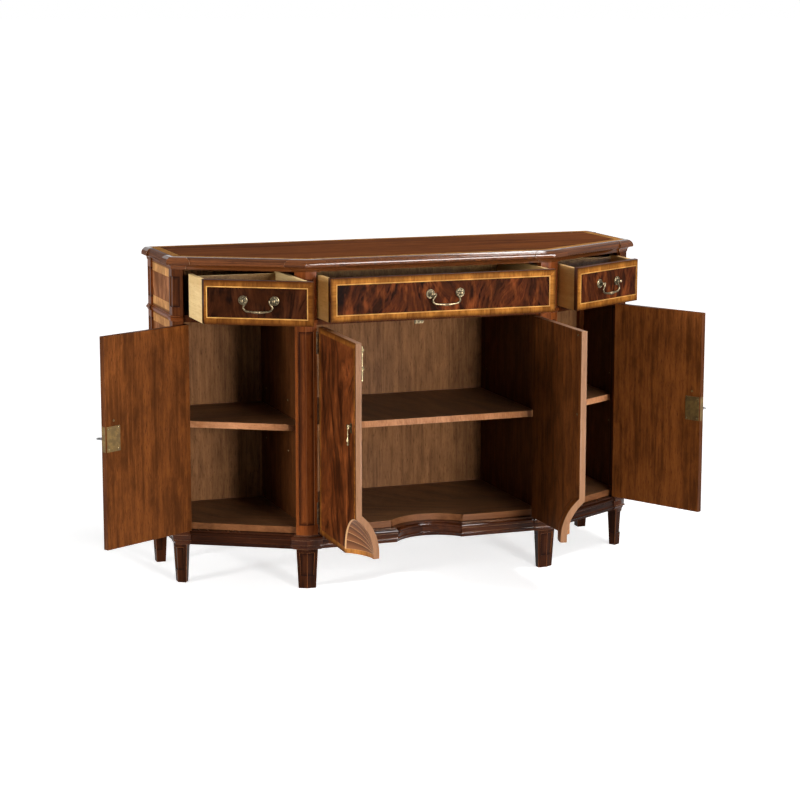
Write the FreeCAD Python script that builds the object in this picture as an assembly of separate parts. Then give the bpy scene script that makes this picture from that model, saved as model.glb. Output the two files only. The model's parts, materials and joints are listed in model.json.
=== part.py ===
import FreeCAD, Part
import math
import os

# Side cabinet with a straight centre and slanted ends, in millimetres.
# X runs to the right seen from the front, Y runs to the back, Z is up.
# The origin is on the floor, at the middle of the width, in the back plane.

vec = FreeCAD.Vector
up = vec(0, 0, 1)
ground = vec(0, 0, 0)


def upright_middle(start, end):
    # middle of the round stretch that leaves its start straight up
    across = start[0] - end[0]
    rise = end[1] - start[1]
    radius = (across ** 2 + rise ** 2) / (2 * across)
    half_turn = math.asin(rise / radius) / 2
    return (start[0] - radius + radius * math.cos(half_turn), start[1] + radius * math.sin(half_turn))


# Carcass plan, measured on the outer faces of the posts
face_half_width = 678.0      # middle to the face of each side return
face_depth = 463.0           # back plane to the centre face
centre_half = 358.0          # middle to the fold of each front post
slant_angle = 30.5           # turn of the end faces from the centre face, degrees
run_setback = 4.0            # fronts and runs of moulding lie this far behind the posts

# Heights
total_height = 906.0
board_thick = 24.0
cornice_height = 34.0
drawer_head_gap = 6.0
drawer_height = 118.0
drawer_foot_gap = 2.0
dust_thick = 18.0
door_head_gap = 4.0
leg_height = 110.0
base_height = 40.0
floor_thick = 18.0
door_foot_gap = 2.0
shelf_rise = 263.0           # clear height under the shelves
shelf_thick = 18.0

# Levels
board_low = total_height - board_thick
cornice_low = total_height - cornice_height
drawer_high = cornice_low - drawer_head_gap
drawer_low = drawer_high - drawer_height
dust_high = drawer_low - drawer_foot_gap
dust_low = dust_high - dust_thick
door_high = dust_low - door_head_gap
base_top = leg_height + base_height
floor_top = base_top + floor_thick
door_low = base_top + door_foot_gap
door_middle = (door_low + door_high) / 2
drawer_middle = (drawer_low + drawer_high) / 2
shelf_low = floor_top + shelf_rise
shelf_high = shelf_low + shelf_thick

# Posts and legs
post_half = 31.0             # width of each half of a folded post
back_post = 36.0             # square post at each back corner
post_depth = 30.0
corner_end_straight = 10.0   # square part of the end of an outer post before it runs to the back
front_post_return = 34.0
panel_sink = 2.5             # depth of the sunk panels
panel_half = 22.0            # width of each half of a sunk panel
upper_panel_foot = 23.0      # margins of the sunk panels
upper_panel_head = 20.0
lower_panel_foot = 28.0
lower_panel_head = 18.0
foot_height = 36.0
leg_panel_head = 10.0
upper_panel = (dust_high + upper_panel_foot, cornice_low - upper_panel_head)
lower_panel = (base_top + lower_panel_foot, dust_low - lower_panel_head)
leg_panel = (foot_height, leg_height - leg_panel_head)
leg_taper = 5.0              # each outer face of a leg leans in by this at the floor
leg_end_taper = 4.5
leg_panel_taper = 3.0

# Mouldings, as steps of (distance ahead of the face, height above their foot)
block_half = 38.0            # moulded blocks above and below each post
lip_behind = 6.0             # edge moulding reaches this far behind the post faces
rail_behind = 30.0
block_behind = 34.0
block_margin = 40.0
cornice_foot = (2.0, 0.0)
cornice_neck = (2.0, 3.0)
cornice_brow = (11.5, 13.5)
cornice_quirk = (13.0, 14.0)
cornice_ledge = (17.0, 14.0)
cornice_edge = (17.0, 20.0)
cornice_top = (4.0, cornice_height)
cornice_swell = 2.6          # rise of the round upper edge
base_heel = (2.0, 0.0)
base_heel_top = (2.0, 2.5)
base_toe = (7.0, 8.5)
base_dip = 1.2               # depth of the hollow under the base moulding's bead
base_bead = (7.0, 12.5)
base_bead_swell = 1.0
base_fillet = (5.5, 12.5)
base_shoulder = (5.5, 26.0)
base_quirk = (4.0, 26.0)
base_neck = (2.0, 36.5)
base_swell = 3.2             # rise of the round above the quirk
base_ledge = (0.0, 36.5)
base_lip = (0.0, base_height)
waist_rise = 2.0             # foot of the waist bead above the foot of the dust boards
waist_face = 2.5
waist_start = (waist_face, 3.5)
waist_stop = (waist_face, 12.5)
waist_swell = 3.5
waist_cap = (waist_face, 14.5)
waist_top = (0.5, 16.0)


def swelled_middle(start, end, rise):
    # middle of a round stretch that stands out from its chord by the rise
    across = end[0] - start[0]
    climb = end[1] - start[1]
    share = rise / math.hypot(across, climb)
    return ((start[0] + end[0]) / 2 + climb * share, (start[1] + end[1]) / 2 - across * share)


def raised(profile, level):
    return [tuple((step[0], step[1] + level) for step in stretch) for stretch in profile]


cornice = raised([
    (cornice_foot,),
    (cornice_neck,),
    (upright_middle(cornice_neck, cornice_brow), cornice_brow),
    (cornice_quirk,),
    (cornice_ledge,),
    (cornice_edge,),
    (swelled_middle(cornice_edge, cornice_top, cornice_swell), cornice_top),
], cornice_low)
base = raised([
    (base_heel,),
    (base_heel_top,),
    (swelled_middle(base_heel_top, base_toe, -base_dip), base_toe),
    (swelled_middle(base_toe, base_bead, base_bead_swell), base_bead),
    (base_fillet,),
    (base_shoulder,),
    (base_quirk,),
    (swelled_middle(base_quirk, base_neck, base_swell), base_neck),
    (base_ledge,),
    (base_lip,),
], leg_height)
waist = raised([
    ((waist_face, 0.0),),
    (waist_start,),
    (swelled_middle(waist_start, waist_stop, waist_swell), waist_stop),
    (waist_cap,),
    (waist_top,),
], dust_low + waist_rise)

# Panels
panel_recess = 6.0           # side panels behind the post faces
side_panel_thick = 16.0
back_thick = 12.0
divider_inset = 7.0          # dividers inside the folds of the front posts
divider_thick = 18.0
divider_outer = centre_half - divider_inset
divider_inner = divider_outer - divider_thick
shelf_setback = 40.0
shelf_play = 1.0
floor_setback = 22.0

# Doors
door_thick = 17.0
door_gap = 2.0               # gap along each upright edge
meeting_half = 1.0           # half the gap where the centre doors meet
pin_ahead = 3.6              # hinge pin ahead of the door's outer face
side_left_open = 120.5       # opening shown, degrees from closed
side_right_open = 87.0
centre_left_open = 91.0
centre_right_open = 90.0

# Hollow niche shared by the lower corners of the centre doors
niche_half = 98.0            # half width on the outer face
niche_depth = 50.0
niche_rise = 14.0            # centre of the round head above the base
niche_level = base_top + niche_rise
niche_play = 1.5
niche_wall = 26.0            # rail behind the recess in the base
niche_radius = (niche_half ** 2 + niche_depth ** 2) / (2 * niche_depth)

# Butt hinges
hinge_height = 60.0
hinge_foot = 28.0            # lower and upper hinges inside the ends of the door
hinge_head = 14.0
hinge_levels = (door_low + hinge_foot, door_high - hinge_head - hinge_height)
knuckle = 20.0
knuckle_play = 0.3
barrel_radius = 3.2
barrel_room = 0.4
pin_radius = 1.5
pin_play = 0.06
leaf_near = 0.4
leaf_far = 1.6
leaf_reach = 13.0

# Drawers
drawer_thick = 18.0
box_side = 12.0
runner_gap = 0.3             # drawer sides run on the dust boards
box_head = 3.0               # drawer sides below the top of the front
box_back_head = 9.0
bottom_rise = 10.0           # drawer bottom above the dust board
bottom_thick = 6.0
back_seat = 2.0              # drawer back above its bottom
box_high = drawer_high - box_head
bottom_low = dust_high + bottom_rise
bottom_high = bottom_low + bottom_thick
box_back_low = bottom_high + back_seat
box_back_high = drawer_high - box_back_head
centre_drawer_gap = 3.0      # drawer fronts beside the posts
centre_drawer_half = centre_half - post_half - centre_drawer_gap
centre_drawer_back = 60.0    # drawer back ahead of the back plane when closed
side_drawer_gap = 2.7
side_drawer_near_gap = 2.8
side_drawer_back = 128.0
box_inset = 1.5
left_pull = 189.0            # distance each drawer stands open
centre_pull = 113.0
right_pull = 132.0
guide_height = 18.0
guide_high = dust_high + guide_height
guide_gap = 0.5
guide_setback = 63.0         # strips beside the drawers end this far behind the centre face
guide_front = face_depth - guide_setback

# Bail pulls
pull_rise = 7.0              # pulls above the middle of the drawer fronts
pull_level = drawer_middle + pull_rise
rosette_half = 42.5
rosette_radius = 12.5
rosette_thick = 2.2
boss_radius = 8.0
boss_thick = 2.0
pull_post_radius = 4.0
pull_post_length = 16.0
bail_out = 12.0
bail_pin = 2.0
bail_pin_play = 0.06
bail_radius = 2.4
bail_half = 31.0             # each arm hangs inside its post
bail_pin_end = 46.5
bail_points = [(35.0, -10.0), (39.2, -18.5), (35.5, -24.5), (22.0, -28.4), (0.0, -30.0)]

# Keyhole plates, drop pulls and keys
plate_lift = 60.0            # fittings above the middle of the doors
key_lift = 3.0
lock_lift = 12.0
plate_level = door_middle + plate_lift
plate_edge = 36.0            # middle of a centre door's plate to its free edge
key_level = door_middle + key_lift
key_edge = 34.0              # middle of a side door's keyhole to its free edge
plate_round = 7.0
plate_thick = 2.2
plate_rise = 6.0
plate_drop = 13.0
keyhole_radius = 1.8
key_bore = 3.0
key_bore_wood = 3.2
stem_radius = 3.0
stem_length = 13.0
drop_axis_out = 10.0
drop_pin = 1.2
drop_pin_play = 0.06
cheek_near = 3.4
cheek_far = 4.9
cheek_radius = 3.2
yoke_half = 2.0              # half the thickness of the fork above the drop's shaft
yoke_high = 4.7
yoke_low = 7.0
drop_outline = [(2.0, -6.5), (1.4, -13.0), (1.8, -30.0), (4.4, -40.0), (1.3, -43.5), (1.3, -46.5)]
drop_ball = 3.0
drop_ball_level = -49.0
key_radius = 2.4
key_inside = 13.0
key_stem = 33.0
key_collar_radius = 4.2
key_collar_gap = 2.0
key_collar_thick = 2.5
bow_half_long = 12.0
bow_half_wide = 10.0
bow_bar = 3.6
bow_thick = 3.4

# Lock plates, bolt, stops and shelf pegs
lock_level = door_middle + lock_lift
lock_wide = 46.0
lock_high = 68.0
lock_thick = 2.0
lock_edge = 3.0
selvedge_wide = 13.0
selvedge_thick = 1.5
selvedge_inset = 2.0
lock_screw_radius = 2.2
lock_screw_head = 0.8
lock_screw_inset = 6.0
stud_radius = 3.0
stud_thick = 2.0
stud_above_lock = 15.0
stud_edge = 28.0
bolt_head = 10.0             # bolt plate below the top of the door
bolt_length = 67.0
bolt_high = door_high - bolt_head
bolt_low = bolt_high - bolt_length
bolt_wide = 12.0
bolt_plate_thick = 1.6
bolt_edge = 12.0
bolt_rod = 2.5
bolt_rod_gap = 0.35
bolt_tail = 22.0             # rod below its plate
bolt_knob_radius = 3.2
bolt_guide_wall = 1.4
bolt_guide_high = 8.0
bolt_guide_foot = 6.0
bolt_guide_head = 14.0
bolt_guide_levels = (bolt_low + bolt_guide_foot, bolt_high - bolt_guide_head)
bolt_socket_radius = 3.5
bolt_socket_deep = 9.0
stop_edge = 20.0
stop_head = 12.0
stop_levels = (door_high - stop_head, plate_level)
strike_half = 13.0
strike_middle = 23.0
strike_height = 13.0
strike_low = dust_low - strike_height
strike_thick = 2.0
strike_behind_door = 8.5
peg_radius = 3.0
peg_sunk = 8.0
peg_out = 9.0
peg_back = 70.0              # pegs ahead of the back plane
peg_centre_setback = 83.0    # front pegs behind the centre face and behind the outer folds
peg_side_setback = 84.5
peg_stagger = 7.5            # pegs on the two faces of a divider miss each other by this

far = 220.0                  # longer than any cut it serves
cut_margin = 1.0             # cutters pass the faces they open by this


def prism(points, low, high):
    corners = [vec(p[0], p[1], low) for p in points]
    wire = Part.makePolygon(corners + corners[:1])
    return Part.Face(wire).extrude(up * (high - low))


def box(x0, x1, y0, y1, z0, z1):
    return Part.makeBox(x1 - x0, y1 - y0, z1 - z0, vec(x0, y0, z0))


def level_wire(points, level):
    corners = [vec(p[0], p[1], level) for p in points]
    return Part.makePolygon(corners + corners[:1])


def tapered(low_points, low, high_points, high):
    return Part.makeLoft([level_wire(low_points, low), level_wire(high_points, high)], True, True)


def mirrored(shape):
    return shape.mirror(ground, vec(1, 0, 0))


def turned(shape, centre, degrees):
    copy = shape.copy()
    copy.rotate(centre, up, degrees)
    return copy


def moved(shape, offset):
    copy = shape.copy()
    copy.translate(offset)
    return copy


def joined(shapes):
    solid = shapes[0]
    for shape in shapes[1:]:
        solid = solid.fuse(shape)
    return solid.removeSplitter()


def pair(shape):
    return [shape, mirrored(shape)]


def save(name, shapes):
    solids = []
    for shape in shapes:
        solids.extend(shape.Solids)
    Part.makeCompound(solids).exportStep(os.path.join("parts", name + ".step"))


os.makedirs("parts", exist_ok=True)

# Faces of the left half in plan
slant = math.radians(slant_angle)
fold_y = -(face_depth - (face_half_width - centre_half) * math.tan(slant))
back_fold = vec(-face_half_width, 0, 0)
outer_fold = vec(-face_half_width, fold_y, 0)
inner_fold = vec(-centre_half, -face_depth, 0)
return_along = vec(0, -1, 0)
return_out = vec(-1, 0, 0)
slant_along = vec(math.cos(slant), -math.sin(slant), 0)
slant_out = vec(-math.sin(slant), -math.cos(slant), 0)
centre_along = vec(1, 0, 0)
centre_out = vec(0, -1, 0)
slant_length = (inner_fold - outer_fold).Length
return_length = (outer_fold - back_fold).Length
outer_bend = (outer_fold, return_along, return_out, slant_along, slant_out)
inner_bend = (inner_fold, slant_along, slant_out, centre_along, centre_out)


def bend_offset(bend, distance):
    fold, along_a, out_a, along_b, out_b = bend
    return fold + (out_a + out_b) * (distance / (1 + out_a.dot(out_b)))


def slant_y(x, ahead):
    run = (x + face_half_width) * math.tan(slant)
    return fold_y - run - ahead / math.cos(slant)


def moulded(origin, along, out, profile, behind, start, end, shift=0.0):
    def place(step):
        return origin + along * start + out * (step[0] + shift) + up * step[1]

    first = profile[0][0]
    last = profile[-1][-1]
    here = place(first)
    edges = []
    for stretch in profile[1:]:
        there = place(stretch[-1])
        if len(stretch) == 1:
            edges.append(Part.LineSegment(here, there).toShape())
        else:
            edges.append(Part.Arc(here, place(stretch[0]), there).toShape())
        here = there
    inner_high = place((-behind - shift, last[1]))
    inner_low = place((-behind - shift, first[1]))
    edges.append(Part.LineSegment(here, inner_high).toShape())
    edges.append(Part.LineSegment(inner_high, inner_low).toShape())
    edges.append(Part.LineSegment(inner_low, place(first)).toShape())
    face = Part.Face(Part.Wire(edges))
    return face.extrude(along * (end - start))


def bend_block(bend, profile, behind):
    fold, along_a, out_a, along_b, out_b = bend
    end_a = fold - along_a * block_half
    end_b = fold + along_b * block_half
    solid = moulded(fold, along_a, out_a, profile, far, -far, far)
    solid = solid.common(moulded(fold, along_b, out_b, profile, far, -far, far))
    solid = solid.common(moulded(end_a, out_a, along_a * -1, profile, far, -far, far))
    solid = solid.common(moulded(end_b, out_b, along_b, profile, far, -far, far))
    margin = block_half + block_margin
    keep = [
        fold - along_a * margin - out_a * behind,
        fold - along_a * margin + out_a * margin,
        fold + (out_a + out_b) * margin,
        fold + along_b * margin + out_b * margin,
        fold + along_b * margin - out_b * behind,
    ]
    return solid.common(prism(keep, 0, total_height + cut_margin))


def back_block(profile):
    front_end = back_fold + return_along * (back_post + block_half - post_half)
    solid = moulded(back_fold, return_along, return_out, profile, far, 0, far)
    solid = solid.common(moulded(front_end, return_out, return_along, profile, far, -far, far))
    return solid.common(box(-face_half_width - far, back_post - face_half_width, -far, 0, 0, total_height))


def bend_band(bend, half, ahead, behind):
    fold, along_a, out_a, along_b, out_b = bend
    start = fold - along_a * half
    end = fold + along_b * half
    return [
        start + out_a * ahead,
        bend_offset(bend, ahead),
        end + out_b * ahead,
        end - out_b * behind,
        bend_offset(bend, -behind),
        start - out_a * behind,
    ]


def sunk(post, bend, levels):
    band = bend_band(bend, panel_half, panel_recess, panel_sink)
    return post.cut(prism(band, levels[0], levels[1]))


# Posts, each folded along its corner and sunk with two panels
outer_end = outer_fold + slant_along * post_half
outer_turn = outer_end - slant_out * corner_end_straight
outer_back_y = fold_y + post_half
outer_plan = [
    vec(-face_half_width, outer_back_y, 0),
    outer_fold,
    outer_end,
    outer_turn,
    vec(outer_turn.x, outer_back_y, 0),
]
inner_start = inner_fold - slant_along * post_half
inner_end = inner_fold + centre_along * post_half
inner_plan = [
    inner_start,
    inner_fold,
    inner_end,
    inner_end - centre_out * front_post_return,
    inner_start - slant_out * post_depth,
]
back_plan_x = back_post - face_half_width
post_corner = prism(outer_plan, base_top, board_low)
post_front = prism(inner_plan, base_top, board_low)
post_back = box(-face_half_width, back_plan_x, -back_post, 0, base_top, board_low)
for levels in (upper_panel, lower_panel):
    post_corner = sunk(post_corner, outer_bend, levels)
    post_front = sunk(post_front, inner_bend, levels)
    side = back_post - panel_half
    sink = box(-face_half_width - panel_sink, panel_sink - face_half_width, -back_post + side / 2, -side / 2,
               levels[0], levels[1])
    post_back = post_back.cut(sink)


# Legs, leaning in on every outer face, with a sunk panel above a plain foot
def leg_plan(bend, level):
    fold, along_a, out_a, along_b, out_b = bend
    share = 1 - level / leg_height
    lean = leg_taper * share
    end = post_half - leg_end_taper * share
    deep = post_depth - leg_end_taper * share
    return [
        fold - along_a * end - out_a * lean,
        bend_offset(bend, -lean),
        fold + along_b * end - out_b * lean,
        fold + along_b * end - out_b * deep,
        fold - along_a * end - out_a * deep,
    ]


def leg_band(bend, level):
    share = 1 - level / leg_height
    half = panel_half - leg_panel_taper * share
    return bend_band(bend, half, panel_recess, leg_taper * share + panel_sink)


def bend_leg(bend):
    leg = tapered(leg_plan(bend, 0), 0, leg_plan(bend, leg_height), leg_height)
    low, high = leg_panel
    return leg.cut(tapered(leg_band(bend, low), low, leg_band(bend, high), high))


def back_leg_plan(level):
    share = 1 - level / leg_height
    lean = leg_taper * share
    x0 = lean - face_half_width
    x1 = back_plan_x - lean
    return [(x0, -back_post + lean), (x1, -back_post + lean), (x1, -lean), (x0, -lean)]


def back_leg_band(level):
    share = 1 - level / leg_height
    x0 = -face_half_width - panel_sink
    x1 = leg_taper * share + panel_sink - face_half_width
    side = (back_post - panel_half) / 2 + leg_taper * share / 2
    return [(x0, -back_post + side), (x1, -back_post + side), (x1, -side), (x0, -side)]


leg_corner = bend_leg(outer_bend)
leg_front = bend_leg(inner_bend)
leg_back = tapered(back_leg_plan(0), 0, back_leg_plan(leg_height), leg_height)
band_low, band_high = leg_panel
leg_back = leg_back.cut(tapered(back_leg_band(band_low), band_low, back_leg_band(band_high), band_high))
save("legs_back", pair(leg_back))
save("legs_corner", pair(leg_corner))
save("legs_front", pair(leg_front))

# Top board, inside its edge moulding
board_half = face_half_width - lip_behind
board_fold = bend_offset(outer_bend, -lip_behind)
board_inner = bend_offset(inner_bend, -lip_behind)
board_plan = [
    (-board_half, 0),
    board_fold,
    board_inner,
    (-board_inner.x, board_inner.y),
    (-board_fold.x, board_fold.y),
    (board_half, 0),
]
top_board = prism(board_plan, board_low, total_height)
board_well = prism(board_plan, cornice_low - cut_margin, total_height + cut_margin)
save("top_board", [top_board])

# Edge moulding of the top, breaking forward in a block over each post
cornice_blocks = [
    back_block(cornice).cut(board_well).cut(post_back),
    bend_block(outer_bend, cornice, far).cut(board_well).cut(post_corner),
    bend_block(inner_bend, cornice, far).cut(board_well).cut(post_front),
]


def run_between(face, profile, start, end, cutters):
    origin, along, out = face
    run = moulded(origin, along, out, profile, rail_behind, start, end, -run_setback)
    for cutter in cutters:
        run = run.cut(cutter)
    return run


return_face = (back_fold, return_along, return_out)
slant_face = (outer_fold, slant_along, slant_out)
centre_face = (inner_fold, centre_along, centre_out)
cornice_cutters = cornice_blocks + [top_board, post_back, post_corner, post_front]
return_start = back_post
return_end = return_length - post_half
slant_end = slant_length - post_half
cornice_return = run_between(return_face, cornice, return_start, return_end, cornice_cutters)
cornice_slant = run_between(slant_face, cornice, post_half, slant_end, cornice_cutters)
centre_cutters = cornice_cutters + [mirrored(cutter) for cutter in cornice_cutters]
centre_end = 2 * centre_half - post_half
cornice_centre = run_between(centre_face, cornice, post_half, centre_end, centre_cutters)
save("top_moulding_returns", pair(cornice_return))
save("top_moulding_slanted", pair(cornice_slant))
save("top_moulding_centre", [cornice_centre])
save("top_corner_blocks", [half for block in cornice_blocks for half in pair(block)])

# Base moulding, with a block over each leg
base_blocks = [
    back_block(base),
    bend_block(outer_bend, base, block_behind),
    bend_block(inner_bend, base, block_behind),
]
base_return = run_between(return_face, base, return_start, return_end, base_blocks)
base_slant = run_between(slant_face, base, post_half, slant_end, base_blocks)
base_cutters = [half for block in base_blocks for half in pair(block)]
base_centre = run_between(centre_face, base, post_half, centre_end, base_cutters)

# Recess in the middle of the base, a moulded hollow with an upright axis
front_plane = run_setback - face_depth
niche_y = front_plane - (niche_radius - niche_depth)
niche_axis = vec(0, niche_y, 0)


def hollow(profile, radius):
    def place(step):
        return niche_axis + vec(radius - step[0], 0, step[1])

    first = profile[0][0]
    last = profile[-1][-1]
    here = place(first)
    edges = []
    for stretch in profile[1:]:
        there = place(stretch[-1])
        if len(stretch) == 1:
            edges.append(Part.LineSegment(here, there).toShape())
        else:
            edges.append(Part.Arc(here, place(stretch[0]), there).toShape())
        here = there
    high = niche_axis + up * last[1]
    low = niche_axis + up * first[1]
    edges.append(Part.LineSegment(here, high).toShape())
    edges.append(Part.LineSegment(high, low).toShape())
    edges.append(Part.LineSegment(low, place(first)).toShape())
    return Part.Face(Part.Wire(edges)).revolve(niche_axis, up, 360)


recess_back = Part.makeCylinder(niche_radius + niche_wall, base_height, niche_axis + up * leg_height)
recess_back = recess_back.common(box(-far, far, front_plane + cut_margin, 0, leg_height, base_top))
base_centre = joined([base_centre, recess_back]).cut(hollow(base, niche_radius))
save("base_moulding_returns", pair(base_return))
save("base_moulding_slanted", pair(base_slant))
save("base_moulding_centre", [base_centre])
save("base_corner_blocks", base_cutters)

# Waist bead round every post and along the side returns
waist_low = waist[0][0][1]
waist_high = waist[-1][-1][1]


def waist_collar(bend, post):
    fold, along_a, out_a, along_b, out_b = bend
    solid = moulded(fold, along_a, out_a, waist, far, -far, far)
    solid = solid.common(moulded(fold, along_b, out_b, waist, far, -far, far))
    solid = solid.common(prism(bend_band(bend, post_half, far, panel_recess), waist_low, waist_high))
    return solid.cut(post)


collars = [waist_collar(outer_bend, post_corner), waist_collar(inner_bend, post_front)]
collars.append(moulded(back_fold, return_along, return_out, waist, 0, 0, back_post))
side_bead = moulded(back_fold, return_along, return_out, waist, panel_recess,
                    return_start, return_end, -panel_recess)
save("waist_collars", [half for collar in collars for half in pair(collar)])
save("waist_returns", pair(side_bead))

# Back, sides, dividers and floor
side_outer = panel_recess - face_half_width
side_inner = side_outer + side_panel_thick
back_panel = box(back_plan_x, -back_plan_x, -back_thick, 0, leg_height, board_low)
side_panel = box(side_outer, side_inner, outer_back_y, -back_post, base_top, cornice_low)
floor_fold = vec(side_inner, slant_y(side_inner, -floor_setback), 0)
floor_inner = bend_offset(inner_bend, -floor_setback)
floor_plan = [
    (side_inner, -back_thick),
    floor_fold,
    floor_inner,
    (-floor_inner.x, floor_inner.y),
    (-floor_fold.x, floor_fold.y),
    (-side_inner, -back_thick),
]
posts = pair(post_back) + pair(post_corner) + pair(post_front)
floor_panel = prism(floor_plan, base_top, floor_top)
for post in posts:
    floor_panel = floor_panel.cut(post)
door_hollow = niche_radius + door_thick + niche_play
floor_panel = floor_panel.cut(Part.makeCylinder(door_hollow, far, niche_axis + up * leg_height))
divider = box(-divider_outer, -divider_inner, front_plane, -back_thick, floor_top, board_low).cut(post_front)
save("back_panel", [back_panel])
save("floor_panel", [floor_panel])

# Dust boards that part the drawers from the cupboards
dust_centre = box(-divider_inner, divider_inner, front_plane, -back_thick, dust_low, dust_high)
side_front = slant_y(side_inner, -run_setback)
dust_side = prism([
    (side_inner, -back_thick),
    (side_inner, side_front),
    (-divider_outer, slant_y(-divider_outer, -run_setback)),
    (-divider_outer, -back_thick),
], dust_low, dust_high)
for post in posts:
    dust_centre = dust_centre.cut(post)
    dust_side = dust_side.cut(post)
save("dust_boards_side", pair(dust_side))

# Shelves on turned pegs
shelf_back = -back_thick - shelf_play
shelf_front = shelf_setback - face_depth
shelf_half = divider_inner - shelf_play
shelf_centre = box(-shelf_half, shelf_half, shelf_front, shelf_back, shelf_low, shelf_high)
shelf_outer = side_inner + shelf_play
shelf_inner = -divider_outer - shelf_play
shelf_left = prism([
    (shelf_outer, shelf_back),
    (shelf_outer, slant_y(shelf_outer, -shelf_setback)),
    (shelf_inner, slant_y(shelf_inner, -shelf_setback)),
    (shelf_inner, shelf_back),
], shelf_low, shelf_high)
for post in posts:
    shelf_left = shelf_left.cut(post)
    shelf_centre = shelf_centre.cut(post)
save("shelf_centre", [shelf_centre])
save("shelf_left", [shelf_left])
save("shelf_right", [mirrored(shelf_left)])


def peg(x, y, toward):
    start = vec(x - toward * peg_sunk, y, shelf_low - peg_radius)
    return Part.makeCylinder(peg_radius, peg_sunk + peg_out, start, vec(toward, 0, 0))


pegs = []
peg_centre_front = face_depth - peg_centre_setback
peg_side_front = return_length - peg_side_setback
for y in (-peg_back, -peg_centre_front):
    pegs.append(peg(-divider_inner, y, 1))
for y in (-peg_back - peg_stagger, -peg_centre_front + peg_stagger):
    pegs.append(peg(-divider_outer, y, -1))
for y in (-peg_back, -peg_side_front):
    pegs.append(peg(side_inner, y, 1))
for each in pegs:
    divider = divider.cut(each)
    side_panel = side_panel.cut(each)
save("shelf_pegs", [half for each in pegs for half in pair(each)])
save("dividers", pair(divider))
save("side_panels", pair(side_panel))


# Butt hinges, closed, as a fixed half on the post and a moving half on the door
def hinge_plate(pin, along, out, near, wide, low, high, start, end):
    return prism([
        pin + along * near + out * start,
        pin + along * wide + out * start,
        pin + along * wide + out * end,
        pin + along * near + out * end,
    ], low, high)


def hinge(pin, along, out, low):
    high = low + hinge_height
    middle_low = low + knuckle + knuckle_play
    middle_high = high - knuckle - knuckle_play
    edge = barrel_radius + barrel_room
    fixed = [
        Part.makeCylinder(barrel_radius, knuckle, pin + up * low),
        Part.makeCylinder(barrel_radius, knuckle, pin + up * (high - knuckle)),
        Part.makeCylinder(pin_radius, hinge_height, pin + up * low),
        hinge_plate(pin, along, out, -leaf_far, -leaf_near, low, high, -leaf_reach, -edge),
        hinge_plate(pin, along, out, -leaf_far, -leaf_near, low, low + knuckle, -edge, 0),
        hinge_plate(pin, along, out, -leaf_far, -leaf_near, high - knuckle, high, -edge, 0),
    ]
    moving = [
        Part.makeCylinder(barrel_radius, middle_high - middle_low, pin + up * middle_low),
        hinge_plate(pin, along, out, leaf_near, leaf_far, low, high, -leaf_reach, -edge),
        hinge_plate(pin, along, out, leaf_near, leaf_far, middle_low, middle_high, -edge, 0),
    ]
    bore = Part.makeCylinder(pin_radius + pin_play, hinge_height, pin + up * low)
    return joined(fixed), joined(moving).cut(bore)


def barrel_space(pin, low):
    start = pin + up * (low - barrel_room)
    return Part.makeCylinder(barrel_radius + barrel_room, hinge_height + 2 * barrel_room, start)


side_pin = outer_fold + slant_along * (post_half + door_gap / 2) + slant_out * (pin_ahead - run_setback)
centre_pin = inner_fold + centre_along * (post_half + door_gap / 2) + centre_out * (pin_ahead - run_setback)
fixed_leaves = []
side_leaves = []
centre_leaves = []
for low in hinge_levels:
    fixed, moving = hinge(side_pin, slant_along, slant_out, low)
    post_corner = post_corner.cut(barrel_space(side_pin, low)).cut(fixed)
    fixed_leaves.append(fixed)
    side_leaves.append(moving)
    fixed, moving = hinge(centre_pin, centre_along, centre_out, low)
    post_front = post_front.cut(barrel_space(centre_pin, low)).cut(fixed)
    fixed_leaves.append(fixed)
    centre_leaves.append(moving)
save("posts_back", pair(post_back))
save("posts_corner", pair(post_corner))
save("posts_front", pair(post_front))
save("hinge_leaves_posts", [half for leaf in fixed_leaves for half in pair(leaf)])

# Side door, closed on the left
side_start = post_half + door_gap
side_stop = slant_length - post_half - door_gap
door_out = -run_setback
door_in = -run_setback - door_thick


def slant_point(along, ahead):
    return outer_fold + slant_along * along + slant_out * ahead


side_door = prism([
    slant_point(side_start, door_out),
    slant_point(side_stop, door_out),
    slant_point(side_stop, door_in),
    slant_point(side_start, door_in),
], door_low, door_high)

# Centre door, closed on the left, with a quarter of the hollow niche at its lower free corner
centre_start = -centre_half + post_half + door_gap
centre_stop = -meeting_half


def niche(radius):
    head = Part.makeSphere(radius, niche_axis + up * niche_level)
    head = head.common(box(-far, far, niche_y - far, niche_y + far, niche_level, niche_level + far))
    foot = Part.makeCylinder(radius, niche_level - door_low, niche_axis + up * door_low)
    return joined([head, foot])


door_slab = box(centre_start, centre_stop, front_plane, front_plane + door_thick, door_low, door_high)
door_reach = box(centre_start, centre_stop, front_plane, 0, door_low, door_high)
swell = niche(niche_radius + door_thick).common(door_reach)
centre_door = joined([door_slab, swell]).cut(niche(niche_radius))
swing = (vec(centre_stop, front_plane, 0) - centre_pin).Length
centre_door = centre_door.common(Part.makeCylinder(swing, door_high, centre_pin))
for leaf in side_leaves:
    side_door = side_door.cut(leaf)
for leaf in centre_leaves:
    centre_door = centre_door.cut(leaf)


# Keyhole plate, drop and key, built round a point on a face that looks along -Y
def on_face(shape, point, degrees, level):
    return moved(turned(shape, ground, degrees), point + up * level)


out_of_face = vec(0, -1, 0)


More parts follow.
